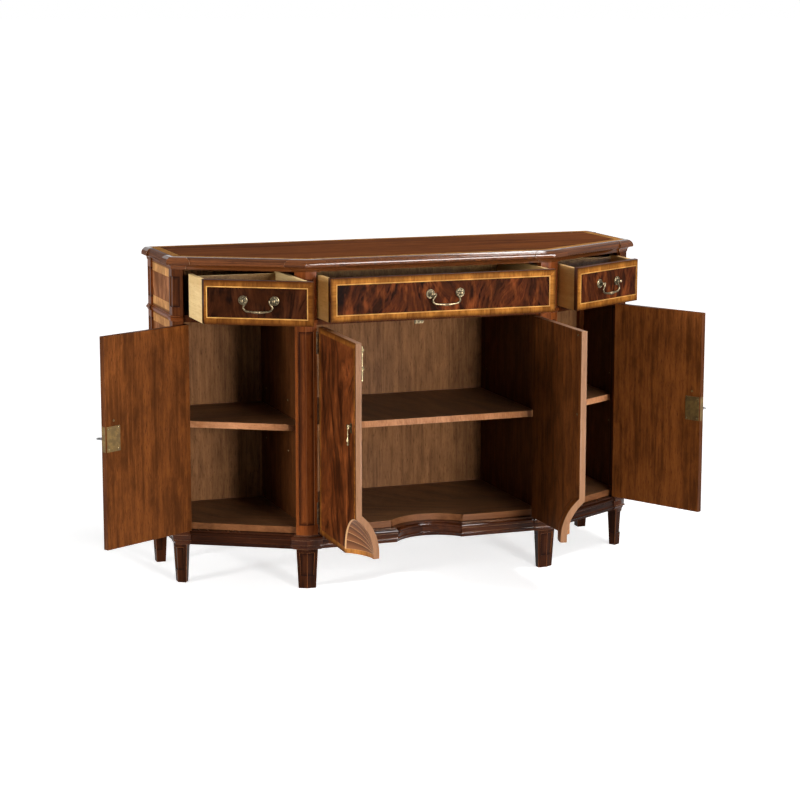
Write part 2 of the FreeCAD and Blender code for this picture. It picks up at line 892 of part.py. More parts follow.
def keyhole_plate(bore):
    head = Part.makeCylinder(plate_round, plate_thick, vec(0, 0, plate_rise), out_of_face)
    skirt = Part.makePolygon([
        vec(-plate_round / 2, 0, plate_rise),
        vec(plate_round / 2, 0, plate_rise),
        vec(plate_round, 0, -plate_drop),
        vec(-plate_round, 0, -plate_drop),
        vec(-plate_round / 2, 0, plate_rise),
    ])
    plate = joined([head, Part.Face(skirt).extrude(out_of_face * plate_thick)])
    return plate.cut(Part.makeCylinder(bore, plate_thick, ground, out_of_face))


def drop_plate():
    stem = Part.makeCylinder(stem_radius, stem_length, vec(0, 0, plate_rise), out_of_face)
    eye = Part.makeCylinder(drop_pin + drop_pin_play, 2 * stem_radius,
                            vec(-stem_radius, -drop_axis_out, plate_rise), vec(1, 0, 0))
    return joined([keyhole_plate(keyhole_radius), stem]).cut(eye)


def drop_handle():
    axis = vec(0, -drop_axis_out, plate_rise)
    front = -drop_axis_out - yoke_half
    back = yoke_half - drop_axis_out
    low = plate_rise - yoke_low
    parts = [Part.makeCylinder(drop_pin, 2 * cheek_far, axis - vec(cheek_far, 0, 0), vec(1, 0, 0))]
    wide = cheek_far - cheek_near
    for start in (-cheek_far, cheek_near):
        parts.append(Part.makeCylinder(cheek_radius, wide, axis + vec(start, 0, 0), vec(1, 0, 0)))
        parts.append(box(start, start + wide, front, back, low, plate_rise))
    parts.append(box(-cheek_far, cheek_far, front, back, low, plate_rise - yoke_high))
    shaft = [axis + up * drop_outline[0][1]]
    for x, z in drop_outline:
        shaft.append(axis + vec(x, 0, z))
    shaft.append(axis + up * drop_outline[-1][1])
    parts.append(Part.Face(Part.makePolygon(shaft + shaft[:1])).revolve(axis, up, 360))
    parts.append(Part.makeSphere(drop_ball, axis + up * drop_ball_level))
    return joined(parts)


def oval(middle, half_long, half_wide):
    ring = Part.Ellipse(middle, half_long, half_wide).toShape()
    ring.rotate(middle, up, 90)
    return Part.Face(Part.Wire([ring]))


def door_key():
    shank = Part.makeCylinder(key_radius, key_inside + key_stem, vec(0, key_inside, 0), out_of_face)
    collar = Part.makeCylinder(key_collar_radius, key_collar_thick,
                               vec(0, -plate_thick - key_collar_gap, 0), out_of_face)
    middle = vec(0, bow_bar / 2 - key_stem - bow_half_long, -bow_thick / 2)
    bow = oval(middle, bow_half_long, bow_half_wide)
    bow = bow.cut(oval(middle, bow_half_long - bow_bar, bow_half_wide - bow_bar))
    return joined([shank, collar, bow.extrude(up * bow_thick)])


# Side door furniture: lock, keyhole plate and key
lock_stop = side_stop - lock_edge
lock_plan = [
    slant_point(lock_stop - lock_wide, door_in),
    slant_point(lock_stop, door_in),
    slant_point(lock_stop, door_in - lock_thick),
    slant_point(lock_stop - lock_wide, door_in - lock_thick),
]
lock_low = lock_level - lock_high / 2
side_lock = [prism(lock_plan, lock_low, lock_low + lock_high)]
selvedge = prism([
    slant_point(side_stop - selvedge_thick, door_out - selvedge_inset),
    slant_point(side_stop, door_out - selvedge_inset),
    slant_point(side_stop, door_out - selvedge_inset - selvedge_wide),
    slant_point(side_stop - selvedge_thick, door_out - selvedge_inset - selvedge_wide),
], lock_low, lock_low + lock_high)
side_door = side_door.cut(selvedge)
side_lock.append(selvedge)
for along in (lock_stop - lock_wide + lock_screw_inset, lock_stop - lock_screw_inset):
    for level in (lock_low + lock_screw_inset, lock_low + lock_high - lock_screw_inset):
        head = slant_point(along, door_in - lock_thick) + up * level
        side_lock.append(Part.makeCylinder(lock_screw_radius, lock_screw_head, head, slant_out * -1))
stud_point = slant_point(side_stop - stud_edge, door_in) + up * (lock_low + lock_high + stud_above_lock)
side_lock.append(Part.makeCylinder(stud_radius, stud_thick, stud_point, slant_out * -1))
side_key_point = slant_point(side_stop - key_edge, door_out)
key_reach = key_inside + cut_margin
key_hole = Part.makeCylinder(key_bore_wood, key_reach, vec(0, key_reach, 0), out_of_face)
key_hole = on_face(key_hole, side_key_point, -slant_angle, key_level)
side_door = side_door.cut(key_hole)
side_plate = on_face(keyhole_plate(key_bore), side_key_point, -slant_angle, key_level)
side_key = on_face(door_key(), side_key_point, -slant_angle, key_level)

# Centre door furniture: drop pull on the face, bolt on the left door, stops on the right
drop_point = vec(centre_stop - plate_edge, front_plane, 0)
centre_plate = on_face(drop_plate(), drop_point, 0, plate_level)
centre_drop = on_face(drop_handle(), drop_point, 0, plate_level)
door_inner_y = front_plane + door_thick
bolt_x = centre_stop - bolt_edge
bolt_plate_y = door_inner_y + bolt_plate_thick
bolt_half = bolt_wide / 2
bolt_plate = box(bolt_x - bolt_half, bolt_x + bolt_half, door_inner_y, bolt_plate_y, bolt_low, bolt_high)
bolt_axis_y = bolt_plate_y + bolt_rod_gap + bolt_rod
guide_wide = bolt_rod + bolt_rod_gap + bolt_guide_wall
guide_out = bolt_axis_y + guide_wide
guides = []
for level in bolt_guide_levels:
    top = level + bolt_guide_high
    guides.append(box(bolt_x - guide_wide, bolt_x + guide_wide, door_inner_y, guide_out, level, top))
rod_space = Part.makeCylinder(bolt_rod + bolt_rod_gap, far, vec(bolt_x, bolt_axis_y, bolt_low - far / 2))
bolt_frame = joined([bolt_plate] + guides).cut(rod_space)
bolt_foot = vec(bolt_x, bolt_axis_y, bolt_low - bolt_tail)
bolt_slide = joined([
    Part.makeCylinder(bolt_rod, bolt_high - bolt_low + bolt_tail, bolt_foot),
    Part.makeSphere(bolt_knob_radius, bolt_foot),
])
stops = []
for level in stop_levels:
    stop_point = vec(stop_edge - centre_stop, door_inner_y, level)
    stops.append(Part.makeCylinder(stud_radius, stud_thick, stop_point, vec(0, 1, 0)))
strike_y = door_inner_y + strike_behind_door
strike = box(-strike_middle - strike_half, strike_half - strike_middle, strike_y, strike_y + strike_thick,
             strike_low, dust_low)
save("strike_plate", [strike])
bolt_socket = Part.makeCylinder(bolt_socket_radius, bolt_socket_deep, vec(bolt_x, bolt_axis_y, dust_low))
save("dust_board_centre", [dust_centre.cut(bolt_socket)])

# Doors in the open position shown
side_pin_right = mirrored(Part.Vertex(side_pin)).Point
centre_pin_right = mirrored(Part.Vertex(centre_pin)).Point


def opened(shapes, pin, degrees):
    return [turned(shape, pin, degrees) for shape in shapes]


side_fittings = side_leaves + [side_plate]
centre_fittings = centre_leaves + [centre_plate]
save("door_left", opened([side_door], side_pin, -side_left_open))
save("door_left_hardware", opened(side_fittings, side_pin, -side_left_open))
save("door_left_lock", opened(side_lock, side_pin, -side_left_open))
save("door_left_key", opened([side_key], side_pin, -side_left_open))
save("door_right", opened([mirrored(side_door)], side_pin_right, side_right_open))
save("door_right_hardware", opened([mirrored(s) for s in side_fittings], side_pin_right, side_right_open))
save("door_right_lock", opened([mirrored(s) for s in side_lock], side_pin_right, side_right_open))
save("door_right_key", opened([mirrored(side_key)], side_pin_right, side_right_open))
save("door_centre_left", opened([centre_door], centre_pin, -centre_left_open))
save("door_centre_left_hardware", opened(centre_fittings + [bolt_frame], centre_pin, -centre_left_open))
save("door_centre_left_drop", opened([centre_drop], centre_pin, -centre_left_open))
save("door_centre_left_bolt", opened([bolt_slide], centre_pin, -centre_left_open))
right_fittings = [mirrored(s) for s in centre_fittings] + stops
save("door_centre_right", opened([mirrored(centre_door)], centre_pin_right, centre_right_open))
save("door_centre_right_hardware", opened(right_fittings, centre_pin_right, centre_right_open))
save("door_centre_right_drop", opened([mirrored(centre_drop)], centre_pin_right, centre_right_open))


# Bail pulls, built round a point on a face that looks along -Y
def rosette(x):
    foot = vec(x, 0, 0)
    disc = Part.makeCylinder(rosette_radius, rosette_thick, foot, out_of_face)
    boss_foot = foot + out_of_face * rosette_thick
    boss = Part.makeCone(boss_radius, pull_post_radius, boss_thick, boss_foot, out_of_face)
    post = Part.makeCylinder(pull_post_radius, pull_post_length, foot, out_of_face)
    eye = Part.makeCylinder(bail_pin + bail_pin_play, 2 * pull_post_radius,
                            vec(x - pull_post_radius, -bail_out, 0), vec(1, 0, 0))
    return joined([disc, boss, post]).cut(eye)


def bail():
    half = [vec(x, -bail_out, z) for x, z in bail_points]
    start = vec(bail_half, -bail_out, 0)
    right = [start] + half
    left = [vec(-point.x, point.y, point.z) for point in reversed(right[:-1])]
    curve = Part.BSplineCurve()
    curve.interpolate(right + left)
    path = Part.Wire([curve.toShape()])
    section = Part.Wire([Part.Circle(start, curve.tangent(curve.FirstParameter)[0], bail_radius).toShape()])
    parts = [path.makePipeShell([section], True, False)]
    for side in (-1, 1):
        end = vec(side * bail_half, -bail_out, 0)
        parts.append(Part.makeSphere(bail_radius, end))
        parts.append(Part.makeCylinder(bail_pin, bail_pin_end - bail_half, end, vec(side, 0, 0)))
    return joined(parts)


# Drawers, built closed and then drawn straight forward
def save_drawer(name, boards, face_point, degrees, pull):
    front, sides, back, bottom = boards
    forward = vec(0, -pull, 0)
    pulls = [on_face(rosette(x), face_point, degrees, pull_level) for x in (-rosette_half, rosette_half)]
    handle = on_face(bail(), face_point, degrees, pull_level)
    save(name + "_front", [moved(front, forward)])
    save(name + "_box", [moved(shape, forward) for shape in sides + [back]])
    save(name + "_bottom", [moved(bottom, forward)])
    save(name + "_rosettes", [moved(shape, forward) for shape in pulls])
    save(name + "_bail", [moved(handle, forward)])


box_low = dust_high + runner_gap
box_front_y = front_plane + drawer_thick
side_x = centre_drawer_half - box_inset
centre_front = box(-centre_drawer_half, centre_drawer_half, front_plane, box_front_y, drawer_low, drawer_high)
centre_side = box(-side_x, box_side - side_x, box_front_y, -centre_drawer_back, box_low, box_high)
inner_x = side_x - box_side
back_front_y = -centre_drawer_back - box_side
centre_back = box(-inner_x, inner_x, back_front_y, -centre_drawer_back, box_back_low, box_back_high)
centre_bottom = box(-inner_x, inner_x, box_front_y, back_front_y, bottom_low, bottom_high)
centre_boards = (centre_front, pair(centre_side), centre_back, centre_bottom)
save_drawer("drawer_centre", centre_boards, vec(0, front_plane, 0), 0, centre_pull)

front_in = -run_setback - drawer_thick
outer_x = outer_turn.x + side_drawer_gap
near_x = inner_start.x - side_drawer_near_gap
side_front_board = prism([
    (outer_x, slant_y(outer_x, -run_setback)),
    (near_x, slant_y(near_x, -run_setback)),
    (near_x, slant_y(near_x, front_in)),
    (outer_x, slant_y(outer_x, front_in)),
], drawer_low, drawer_high)


def side_board(x0, x1):
    return prism([
        (x0, slant_y(x0, front_in)),
        (x1, slant_y(x1, front_in)),
        (x1, -side_drawer_back),
        (x0, -side_drawer_back),
    ], box_low, box_high)


outer_in = outer_x + box_inset
outer_out = outer_in + box_side
near_in = near_x - box_inset
near_out = near_in - box_side
side_boards = [side_board(outer_in, outer_out), side_board(near_out, near_in)]
side_back_y = -side_drawer_back - box_side
side_back = box(outer_out, near_out, side_back_y, -side_drawer_back, box_back_low, box_back_high)
side_bottom = prism([
    (outer_out, slant_y(outer_out, front_in)),
    (near_out, slant_y(near_out, front_in)),
    (near_out, side_back_y),
    (outer_out, side_back_y),
], bottom_low, bottom_high)
middle_x = (outer_x + near_x) / 2
left_face = vec(middle_x, slant_y(middle_x, -run_setback), 0)
right_face = vec(-middle_x, left_face.y, 0)
left_boards = (side_front_board, side_boards, side_back, side_bottom)
right_sides = [mirrored(board) for board in side_boards]
right_boards = (mirrored(side_front_board), right_sides, mirrored(side_back), mirrored(side_bottom))
save_drawer("drawer_left", left_boards, left_face, -slant_angle, left_pull)
save_drawer("drawer_right", right_boards, right_face, slant_angle, right_pull)

# Strips beside each drawer that keep it straight
centre_strip = box(-divider_inner, -side_x - guide_gap, -guide_front, -back_thick, dust_high, guide_high)
near_strip = box(near_in + guide_gap, -divider_outer, -guide_front, -back_thick, dust_high, guide_high)
outer_strip = box(side_inner, outer_in - guide_gap, outer_back_y, -back_post, dust_high, guide_high)
save("drawer_guides", [half for strip in (centre_strip, near_strip, outer_strip) for half in pair(strip)])
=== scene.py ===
import bpy
import bmesh
import json
import math
from mathutils import Matrix, Vector


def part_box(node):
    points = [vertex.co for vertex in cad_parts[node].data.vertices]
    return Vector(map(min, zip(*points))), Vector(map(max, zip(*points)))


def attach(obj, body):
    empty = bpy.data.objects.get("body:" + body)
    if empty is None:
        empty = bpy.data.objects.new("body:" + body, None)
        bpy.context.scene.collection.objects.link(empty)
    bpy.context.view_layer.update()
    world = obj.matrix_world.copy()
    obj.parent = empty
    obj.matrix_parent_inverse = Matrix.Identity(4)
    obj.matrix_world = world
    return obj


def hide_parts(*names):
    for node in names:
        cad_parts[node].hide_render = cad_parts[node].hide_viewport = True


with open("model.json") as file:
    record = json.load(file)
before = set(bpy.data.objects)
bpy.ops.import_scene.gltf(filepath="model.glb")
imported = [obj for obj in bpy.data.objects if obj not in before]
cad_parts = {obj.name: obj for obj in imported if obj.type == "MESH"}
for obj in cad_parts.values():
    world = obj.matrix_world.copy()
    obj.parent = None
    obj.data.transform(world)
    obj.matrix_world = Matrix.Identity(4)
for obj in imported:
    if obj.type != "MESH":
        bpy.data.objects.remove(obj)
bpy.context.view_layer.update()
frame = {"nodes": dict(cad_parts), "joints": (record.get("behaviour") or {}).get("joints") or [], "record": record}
scene = bpy.context.scene
joints = {joint["name"]: joint for joint in frame["joints"]}
bodyOf = {node: body for body, nodes in frame["record"]["behaviour"]["bodies"].items() for node in nodes}
up = Vector((0, 0, 1))
print("frame loaded,", len(frame["nodes"]), "nodes")


# ways to lay nodes

def feed(tree, socket, value):
    if isinstance(value, bpy.types.NodeSocket):
        tree.links.new(value, socket)
    elif value is not None:
        socket.default_value = value


def addNode(tree, kind, inputs=None, **settings):
    node = tree.nodes.new(kind)
    for name, value in settings.items():
        setattr(node, name, value)
    for name, value in (inputs or {}).items():
        feed(tree, node.inputs[name], value)
    return node


def useGroup(tree, group, inputs):
    return addNode(tree, "ShaderNodeGroup", inputs, node_tree=group).outputs


def calc(tree, operation, *values, clamp=False):
    node = addNode(tree, "ShaderNodeMath", dict(enumerate(values)), operation=operation, use_clamp=clamp)
    return node.outputs[0]


def joinVector(tree, x, y, z):
    return addNode(tree, "ShaderNodeCombineXYZ", {"X": x, "Y": y, "Z": z}).outputs[0]


def splitVector(tree, vector):
    return addNode(tree, "ShaderNodeSeparateXYZ", {"Vector": vector}).outputs


def speckle(tree, vector, stretch, detail=2.0, rough=0.5, warp=0.0):
    scaled = addNode(tree, "ShaderNodeVectorMath", {0: vector, 1: stretch}, operation="MULTIPLY").outputs[0]
    wanted = {"Vector": scaled, "Scale": 1.0, "Detail": detail, "Roughness": rough, "Distortion": warp}
    return addNode(tree, "ShaderNodeTexNoise", wanted).outputs["Fac"]


def ease(tree, value, low, high, first=0.0, last=1.0):
    wanted = {"Value": value, "From Min": low, "From Max": high, "To Min": first, "To Max": last}
    return addNode(tree, "ShaderNodeMapRange", wanted, interpolation_type="SMOOTHSTEP").outputs["Result"]


def mixTone(tree, share, first, second):
    return addNode(tree, "ShaderNodeMix", {0: share, 6: first, 7: second}, data_type="RGBA").outputs[2]


def mixValue(tree, share, first, second):
    return addNode(tree, "ShaderNodeMix", {0: share, 2: first, 3: second}, data_type="FLOAT").outputs[0]


def paint(red, green, blue):  # a colour as seen on screen, 0 to 255
    linear = [pow((c / 255 + 0.055) / 1.055, 2.4) if c > 10 else c / 3295 for c in (red, green, blue)]
    return tuple(linear) + (1.0,)


def openTree(name, kind, inputs, outputs):
    tree = bpy.data.node_groups.new(name, kind)
    for way, sockets in (("INPUT", inputs), ("OUTPUT", outputs)):
        for label, sort in sockets.items():
            tree.interface.new_socket(name=label, in_out=way, socket_type="NodeSocket" + sort)
    return tree, tree.nodes.new("NodeGroupInput").outputs, tree.nodes.new("NodeGroupOutput").inputs


def startGroup(name, vector, tones, numbers, outputs):
    inputs = {vector: "Vector", **dict.fromkeys(tones, "Color"), **dict.fromkeys(numbers, "Float")}
    return openTree(name, "ShaderNodeTree", inputs, outputs)


# shared wood effects

grainNoise = {  # stretch along, across and through the wood, then detail, roughness and warp
    "slow": ((1.3, 11, 11), 3.0, 0.5, 0.6),
    "mottle": ((11, 32, 32), 4.0, 0.6, 0.4),
    "streak": ((4, 85, 85), 4.0, 0.6, 0.5),
    "fibre": ((30, 260, 260), 3.0, 0.65),
    "pore": ((48, 520, 520), 2.0, 0.6),
}
grainLook = {
    "broadShare": 0.6, "streakShare": 0.4, "contrast": (0.36, 0.64), "fibreShade": (0.3, 0.72, 0.32, 0.0),
    "poreEdge": (0.58, 0.7), "fibreRise": 0.6,
}


def makeStraightGrain():
    tree, given, result = startGroup("straightGrain", "Grain", ("Ground", "Streak", "Pore"),
                                     ("Pore Share", "Spread", "Slow"), {"Color": "Color", "Relief": "Float"})
    wanted = {0: given["Grain"], "Scale": given["Spread"]}
    grain = addNode(tree, "ShaderNodeVectorMath", wanted, operation="SCALE").outputs[0]
    slow, mottle, streak, fibre, pore = [speckle(tree, grain, *noise) for noise in grainNoise.values()]
    broad = mixValue(tree, given["Slow"], mottle, slow)
    fine = calc(tree, "MULTIPLY", streak, grainLook["streakShare"])
    figure = calc(tree, "MULTIPLY_ADD", broad, grainLook["broadShare"], fine)
    tone = mixTone(tree, ease(tree, figure, *grainLook["contrast"]), given["Ground"], given["Streak"])
    tone = mixTone(tree, ease(tree, fibre, *grainLook["fibreShade"]), tone, given["Ground"])
    holes = ease(tree, pore, *grainLook["poreEdge"])
    tone = mixTone(tree, calc(tree, "MULTIPLY", holes, given["Pore Share"]), tone, given["Pore"])
    feed(tree, result["Color"], tone)
    raised = calc(tree, "MULTIPLY", fibre, grainLook["fibreRise"])
    feed(tree, result["Relief"], calc(tree, "SUBTRACT", raised, holes))
    return tree


flameNoise = {
    "drift": ((5, 4, 1), 2.0),
    "curl": ((16, 11, 1), 3.0),
    "broad": ((30, 5, 1), 3.0, 0.55),
    "feather": ((130, 17, 1), 4.0, 0.65),
    "fibre": ((700, 60, 1), 2.0, 0.6),
}
flameLook = {
    "waves": 17.0, "drift": 0.09, "curl": 0.045, "slip": 0.05, "broadShare": 0.58, "featherShare": 0.42,
    "contrast": (0.42, 0.58), "glow": (0.56, 0.72, 0.0, 0.9), "fibreShade": (0.35, 0.7, 0.3, 0.0),
}


def makeFlameFigure():
    tree, given, result = startGroup("flameFigure", "Face", ("Ground", "Flame", "Glow"),
                                     ("Seed", "Lean"), {"Color": "Color", "Relief": "Float"})
    u, v = splitVector(tree, given["Face"])[:2]
    place = joinVector(tree, u, v, given["Seed"])
    drift = calc(tree, "SUBTRACT", speckle(tree, place, *flameNoise["drift"]), 0.5)
    curl = calc(tree, "SUBTRACT", speckle(tree, place, *flameNoise["curl"]), 0.5)
    sway = calc(tree, "SINE", calc(tree, "MULTIPLY_ADD", u, flameLook["waves"], given["Seed"]))
    shift = calc(tree, "MULTIPLY", calc(tree, "MULTIPLY", v, sway), given["Lean"])
    s = calc(tree, "MULTIPLY_ADD", drift, flameLook["drift"], calc(tree, "ADD", u, shift))
    s = calc(tree, "MULTIPLY_ADD", curl, flameLook["curl"], s)
    along = calc(tree, "MULTIPLY_ADD", curl, flameLook["slip"], v)
    laid = joinVector(tree, s, along, given["Seed"])
    broad, feather, fibre = [speckle(tree, laid, *flameNoise[name]) for name in ("broad", "feather", "fibre")]
    fine = calc(tree, "MULTIPLY", feather, flameLook["featherShare"])
    figure = calc(tree, "MULTIPLY_ADD", broad, flameLook["broadShare"], fine)
    tone = mixTone(tree, ease(tree, figure, *flameLook["contrast"]), given["Ground"], given["Flame"])
    tone = mixTone(tree, ease(tree, figure, *flameLook["glow"]), tone, given["Glow"])
    tone = mixTone(tree, ease(tree, fibre, *flameLook["fibreShade"]), tone, given["Ground"])
    feed(tree, result["Color"], tone)
    feed(tree, result["Relief"], fibre)
    return tree


def makeBandedLayout():  # field, string and crossband of a square-cornered front
    numbers = ("Half Wide", "Half High", "Band", "String")
    outputs = {"Field": "Float", "String": "Float", "Grain": "Vector", "Rim": "Float"}
    tree, given, result = startGroup("bandedLayout", "Face", (), numbers, outputs)
    u, v = splitVector(tree, given["Face"])[:2]
    toSide = calc(tree, "SUBTRACT", given["Half Wide"], calc(tree, "ABSOLUTE", u))
    toEnd = calc(tree, "SUBTRACT", given["Half High"], calc(tree, "ABSOLUTE", v))
    rim = calc(tree, "MINIMUM", toSide, toEnd)
    pastBand = calc(tree, "GREATER_THAN", rim, given["Band"])
    field = calc(tree, "GREATER_THAN", rim, calc(tree, "ADD", given["Band"], given["String"]))
    onSide = calc(tree, "LESS_THAN", toSide, toEnd)
    along = mixValue(tree, onSide, v, u)
    across = mixValue(tree, onSide, u, v)
    feed(tree, result["Field"], field)
    feed(tree, result["String"], calc(tree, "SUBTRACT", pastBand, field))
    feed(tree, result["Grain"], joinVector(tree, along, across, onSide))
    feed(tree, result["Rim"], rim)
    return tree


# shade and shadeTone give the painted shade in the sunk panels of posts and legs
post = {
    "panelHalf": 0.022, "legPanelHalf": 0.0205, "upper": (0.769, 0.852), "lower": (0.178, 0.710),
    "leg": (0.036, 0.100), "reach": 0.011, "shade": 0.92, "shadeTone": (26, 11, 6), "margin": 0.0005,
}


def makeSunkShade():  # painted shade, with gathered old polish, darkens a sunk panel towards its edges
    numbers = ("Half", "Low", "High", "Reach")
    tree, given, result = startGroup("sunkShade", "Face", (), numbers, {"Shade": "Float"})
    s, z = splitVector(tree, given["Face"])[:2]
    side = calc(tree, "SUBTRACT", given["Half"], calc(tree, "ABSOLUTE", s))
    low = calc(tree, "SUBTRACT", z, given["Low"])
    high = calc(tree, "SUBTRACT", given["High"], z)
    inside = calc(tree, "MINIMUM", side, calc(tree, "MINIMUM", low, high))
    near = calc(tree, "SUBTRACT", 1.0, calc(tree, "DIVIDE", inside, given["Reach"]), clamp=True)
    within = calc(tree, "GREATER_THAN", inside, -post["margin"])
    feed(tree, result["Shade"], calc(tree, "MULTIPLY", near, within))
    return tree


straightGrain = makeStraightGrain()
flameFigure = makeFlameFigure()
bandedLayout = makeBandedLayout()
sunkShade = makeSunkShade()
print("wood effects laid")


# finishes

reliefDepth = 0.0004
woodLook = {"relief": (-0.4, 0.6), "dullest": 1.4, "spread": 1.0, "slow": 0.7}

def startMaterial(name, rough=0.4, shine=0.15, metal=0.0):
    material = bpy.data.materials.new(name)
    material.use_nodes = True
    shader = material.node_tree.nodes["Principled BSDF"]
    shader.inputs["Roughness"].default_value = rough
    shader.inputs["Specular IOR Level"].default_value = shine
    shader.inputs["Metallic"].default_value = metal
    return material.node_tree, shader


def placed(tree, name):
    return addNode(tree, "ShaderNodeAttribute", attribute_name=name).outputs["Vector"]


def layGrain(tree, look, vector):
    wanted = {"Grain": vector, "Pore Share": look["pores"]}
    for label in ("spread", "slow"):
        wanted[label.title()] = look.get(label, woodLook[label])
    for label in ("ground", "streak", "pore"):
        wanted[label.title()] = paint(*look[label])
    return useGroup(tree, straightGrain, wanted)


def surface(tree, shader, tone, relief, height):
    bump = addNode(tree, "ShaderNodeBump", {"Height": relief, "Distance": reliefDepth, "Strength": height})
    feed(tree, shader.inputs["Base Color"], tone)
    feed(tree, shader.inputs["Normal"], bump.outputs[0])


def plainWood(name, look, panels=(), half=0.0):  # painted shade and old polish darken sunk panels towards their edges
    tree, shader = startMaterial(name, shine=look["shine"])
    wood = layGrain(tree, look, placed(tree, "grain"))
    tone = wood["Color"]
    for low, high in panels:
        wanted = {"Half": half, "Low": low, "High": high, "Reach": post["reach"]}
        wanted["Face"] = placed(tree, "face")
        share = calc(tree, "MULTIPLY", useGroup(tree, sunkShade, wanted)["Shade"], post["shade"])
        tone = mixTone(tree, share, tone, paint(*post["shadeTone"]))
    dull = ease(tree, wood["Relief"], *woodLook["relief"], look["rough"] * woodLook["dullest"], look["rough"])
    feed(tree, shader.inputs["Roughness"], dull)
    surface(tree, shader, tone, wood["Relief"], look["height"])


mahogany = {
    "ground": (70, 34, 14), "streak": (138, 72, 31), "pore": (28, 12, 5), "pores": 0.45,
    "rough": 0.3, "shine": 0.03, "height": 0.12,
}
insideWood = {
    "ground": (74, 38, 13), "streak": (132, 74, 31), "pore": (50, 24, 8), "pores": 0.8, "slow": 0.3,
    "rough": 0.45, "shine": 0.03, "height": 0.1,
}
lipping = {
    "ground": (124, 84, 55), "streak": (152, 108, 75), "pore": (92, 58, 36), "pores": 0.4,
    "rough": 0.5, "shine": 0.1, "height": 0.12,
}
drawerWood = {
    "ground": (216, 180, 122), "streak": (240, 210, 152), "pore": (180, 140, 88), "pores": 0.4,
    "rough": 0.5, "shine": 0.08, "height": 0.1,
}
woods = {
    "polishedMahogany": mahogany,
    "polishedBase": dict(mahogany, ground=(46, 21, 9), streak=(88, 44, 19), shine=0.1, rough=0.08),
    # painted shade: the slanted and return runs of the base are a darker copy of the centre run's wood
    "slantBase": dict(mahogany, ground=(30, 13, 6), streak=(58, 28, 12), rough=0.2),
    "polishedCornice": dict(mahogany, ground=(66, 34, 14), streak=(118, 66, 31), shine=0.15, rough=0.1),
    "endCornice": dict(mahogany, ground=(66, 34, 14), streak=(118, 66, 31), shine=0.01),
    # painted highlight: pale wood for the mitres of the cornice blocks
    "jointWood": dict(lipping, ground=(206, 160, 114), streak=(236, 196, 150)),
    "wornArris": dict(mahogany, ground=(92, 48, 22), streak=(150, 92, 52)),
    # painted highlight as well as wear: the base's rounded edges are lighter, standing in for the bright lines
    # along its beads
    "wornBase": dict(mahogany, ground=(112, 74, 50), streak=(168, 124, 92), shine=0.1, rough=0.08),
    "insideMahogany": insideWood,
    # painted shade: a darker copy of the door insides for the inner faces of the centre doors
    "centreMahogany": dict(insideWood, ground=(58, 29, 10), streak=(106, 58, 24)),
    "caseMahogany": dict(insideWood, ground=(66, 35, 15), streak=(98, 56, 26)),
    "edgeLipping": lipping,
    "shelfLipping": dict(lipping, ground=(152, 98, 60), streak=(200, 140, 96)),
    "floorLipping": dict(lipping, ground=(98, 58, 30), streak=(138, 88, 52)),
    "darkEdge": dict(mahogany, ground=(46, 21, 9), streak=(90, 46, 20), shine=0.02),
    "brownEdge": dict(mahogany, ground=(72, 38, 19), streak=(122, 72, 39), shine=0.02),
    "shelfMahogany": {
        "ground": (86, 56, 34), "streak": (128, 88, 56), "pore": (54, 32, 18), "pores": 0.5,
        "rough": 0.4, "shine": 0.06, "height": 0.1,
    },
    "backPanelWood": {
        "ground": (96, 62, 35), "streak": (140, 95, 57), "pore": (54, 32, 17), "pores": 0.9, "slow": 0.3,
        "rough": 0.55, "shine": 0.08, "height": 0.15,
    },
    "plainBackWood": {
        "ground": (128, 88, 56), "streak": (164, 120, 80), "pore": (88, 58, 36), "pores": 0.5,
        "rough": 0.65, "shine": 0.08, "height": 0.15,
    },
    "paleDrawerWood": drawerWood,
    # painted shade: a browner copy of the drawer wood for the centre and right drawer boxes
    "warmDrawerWood": dict(drawerWood, ground=(188, 146, 90), streak=(214, 174, 114), pore=(150, 110, 64)),
    # painted shade and a dark stain: drawer bottoms and the inner faces of the backs
    "brownDrawerWood": dict(drawerWood, ground=(116, 84, 48), streak=(158, 120, 74), pore=(80, 54, 28),
                            pores=0.8),
}
legLook = dict(mahogany, ground=(34, 16, 8), streak=(72, 36, 17))
cornerLook = dict(mahogany, ground=(52, 25, 10), streak=(104, 54, 23))
for name, look in woods.items():
    plainWood(name, look)
for name, look in (("postMahogany", mahogany), ("cornerMahogany", cornerLook)):
    plainWood(name, look, (post["upper"], post["lower"]), post["panelHalf"])
plainWood("legMahogany", legLook, (post["leg"],), post["legPanelHalf"])

crossband = {
    "ground": (124, 72, 24), "streak": (192, 126, 52), "pore": (74, 38, 12), "pores": 0.6, "spread": 1.6,
}
crotch = {
    "ground": (18, 7, 4), "flame": (80, 36, 16), "glow": (150, 76, 36), "string": (214, 158, 84),
    "edge": (60, 28, 10), "rough": 0.3, "shine": 0.012, "mottle": 0.6, "darkRimReach": 0.011,
}
veneerLook = {
    "patch": ((42, 13, 20), 3.0, 0.6), "patchEdge": (0.46, 0.74), "rimShade": 0.85, "height": 0.06,
    "blotch": ((16, 16, 16), 3.0, 0.6), "blotchShade": (0.42, 0.62, 0.42, 0.0),
}


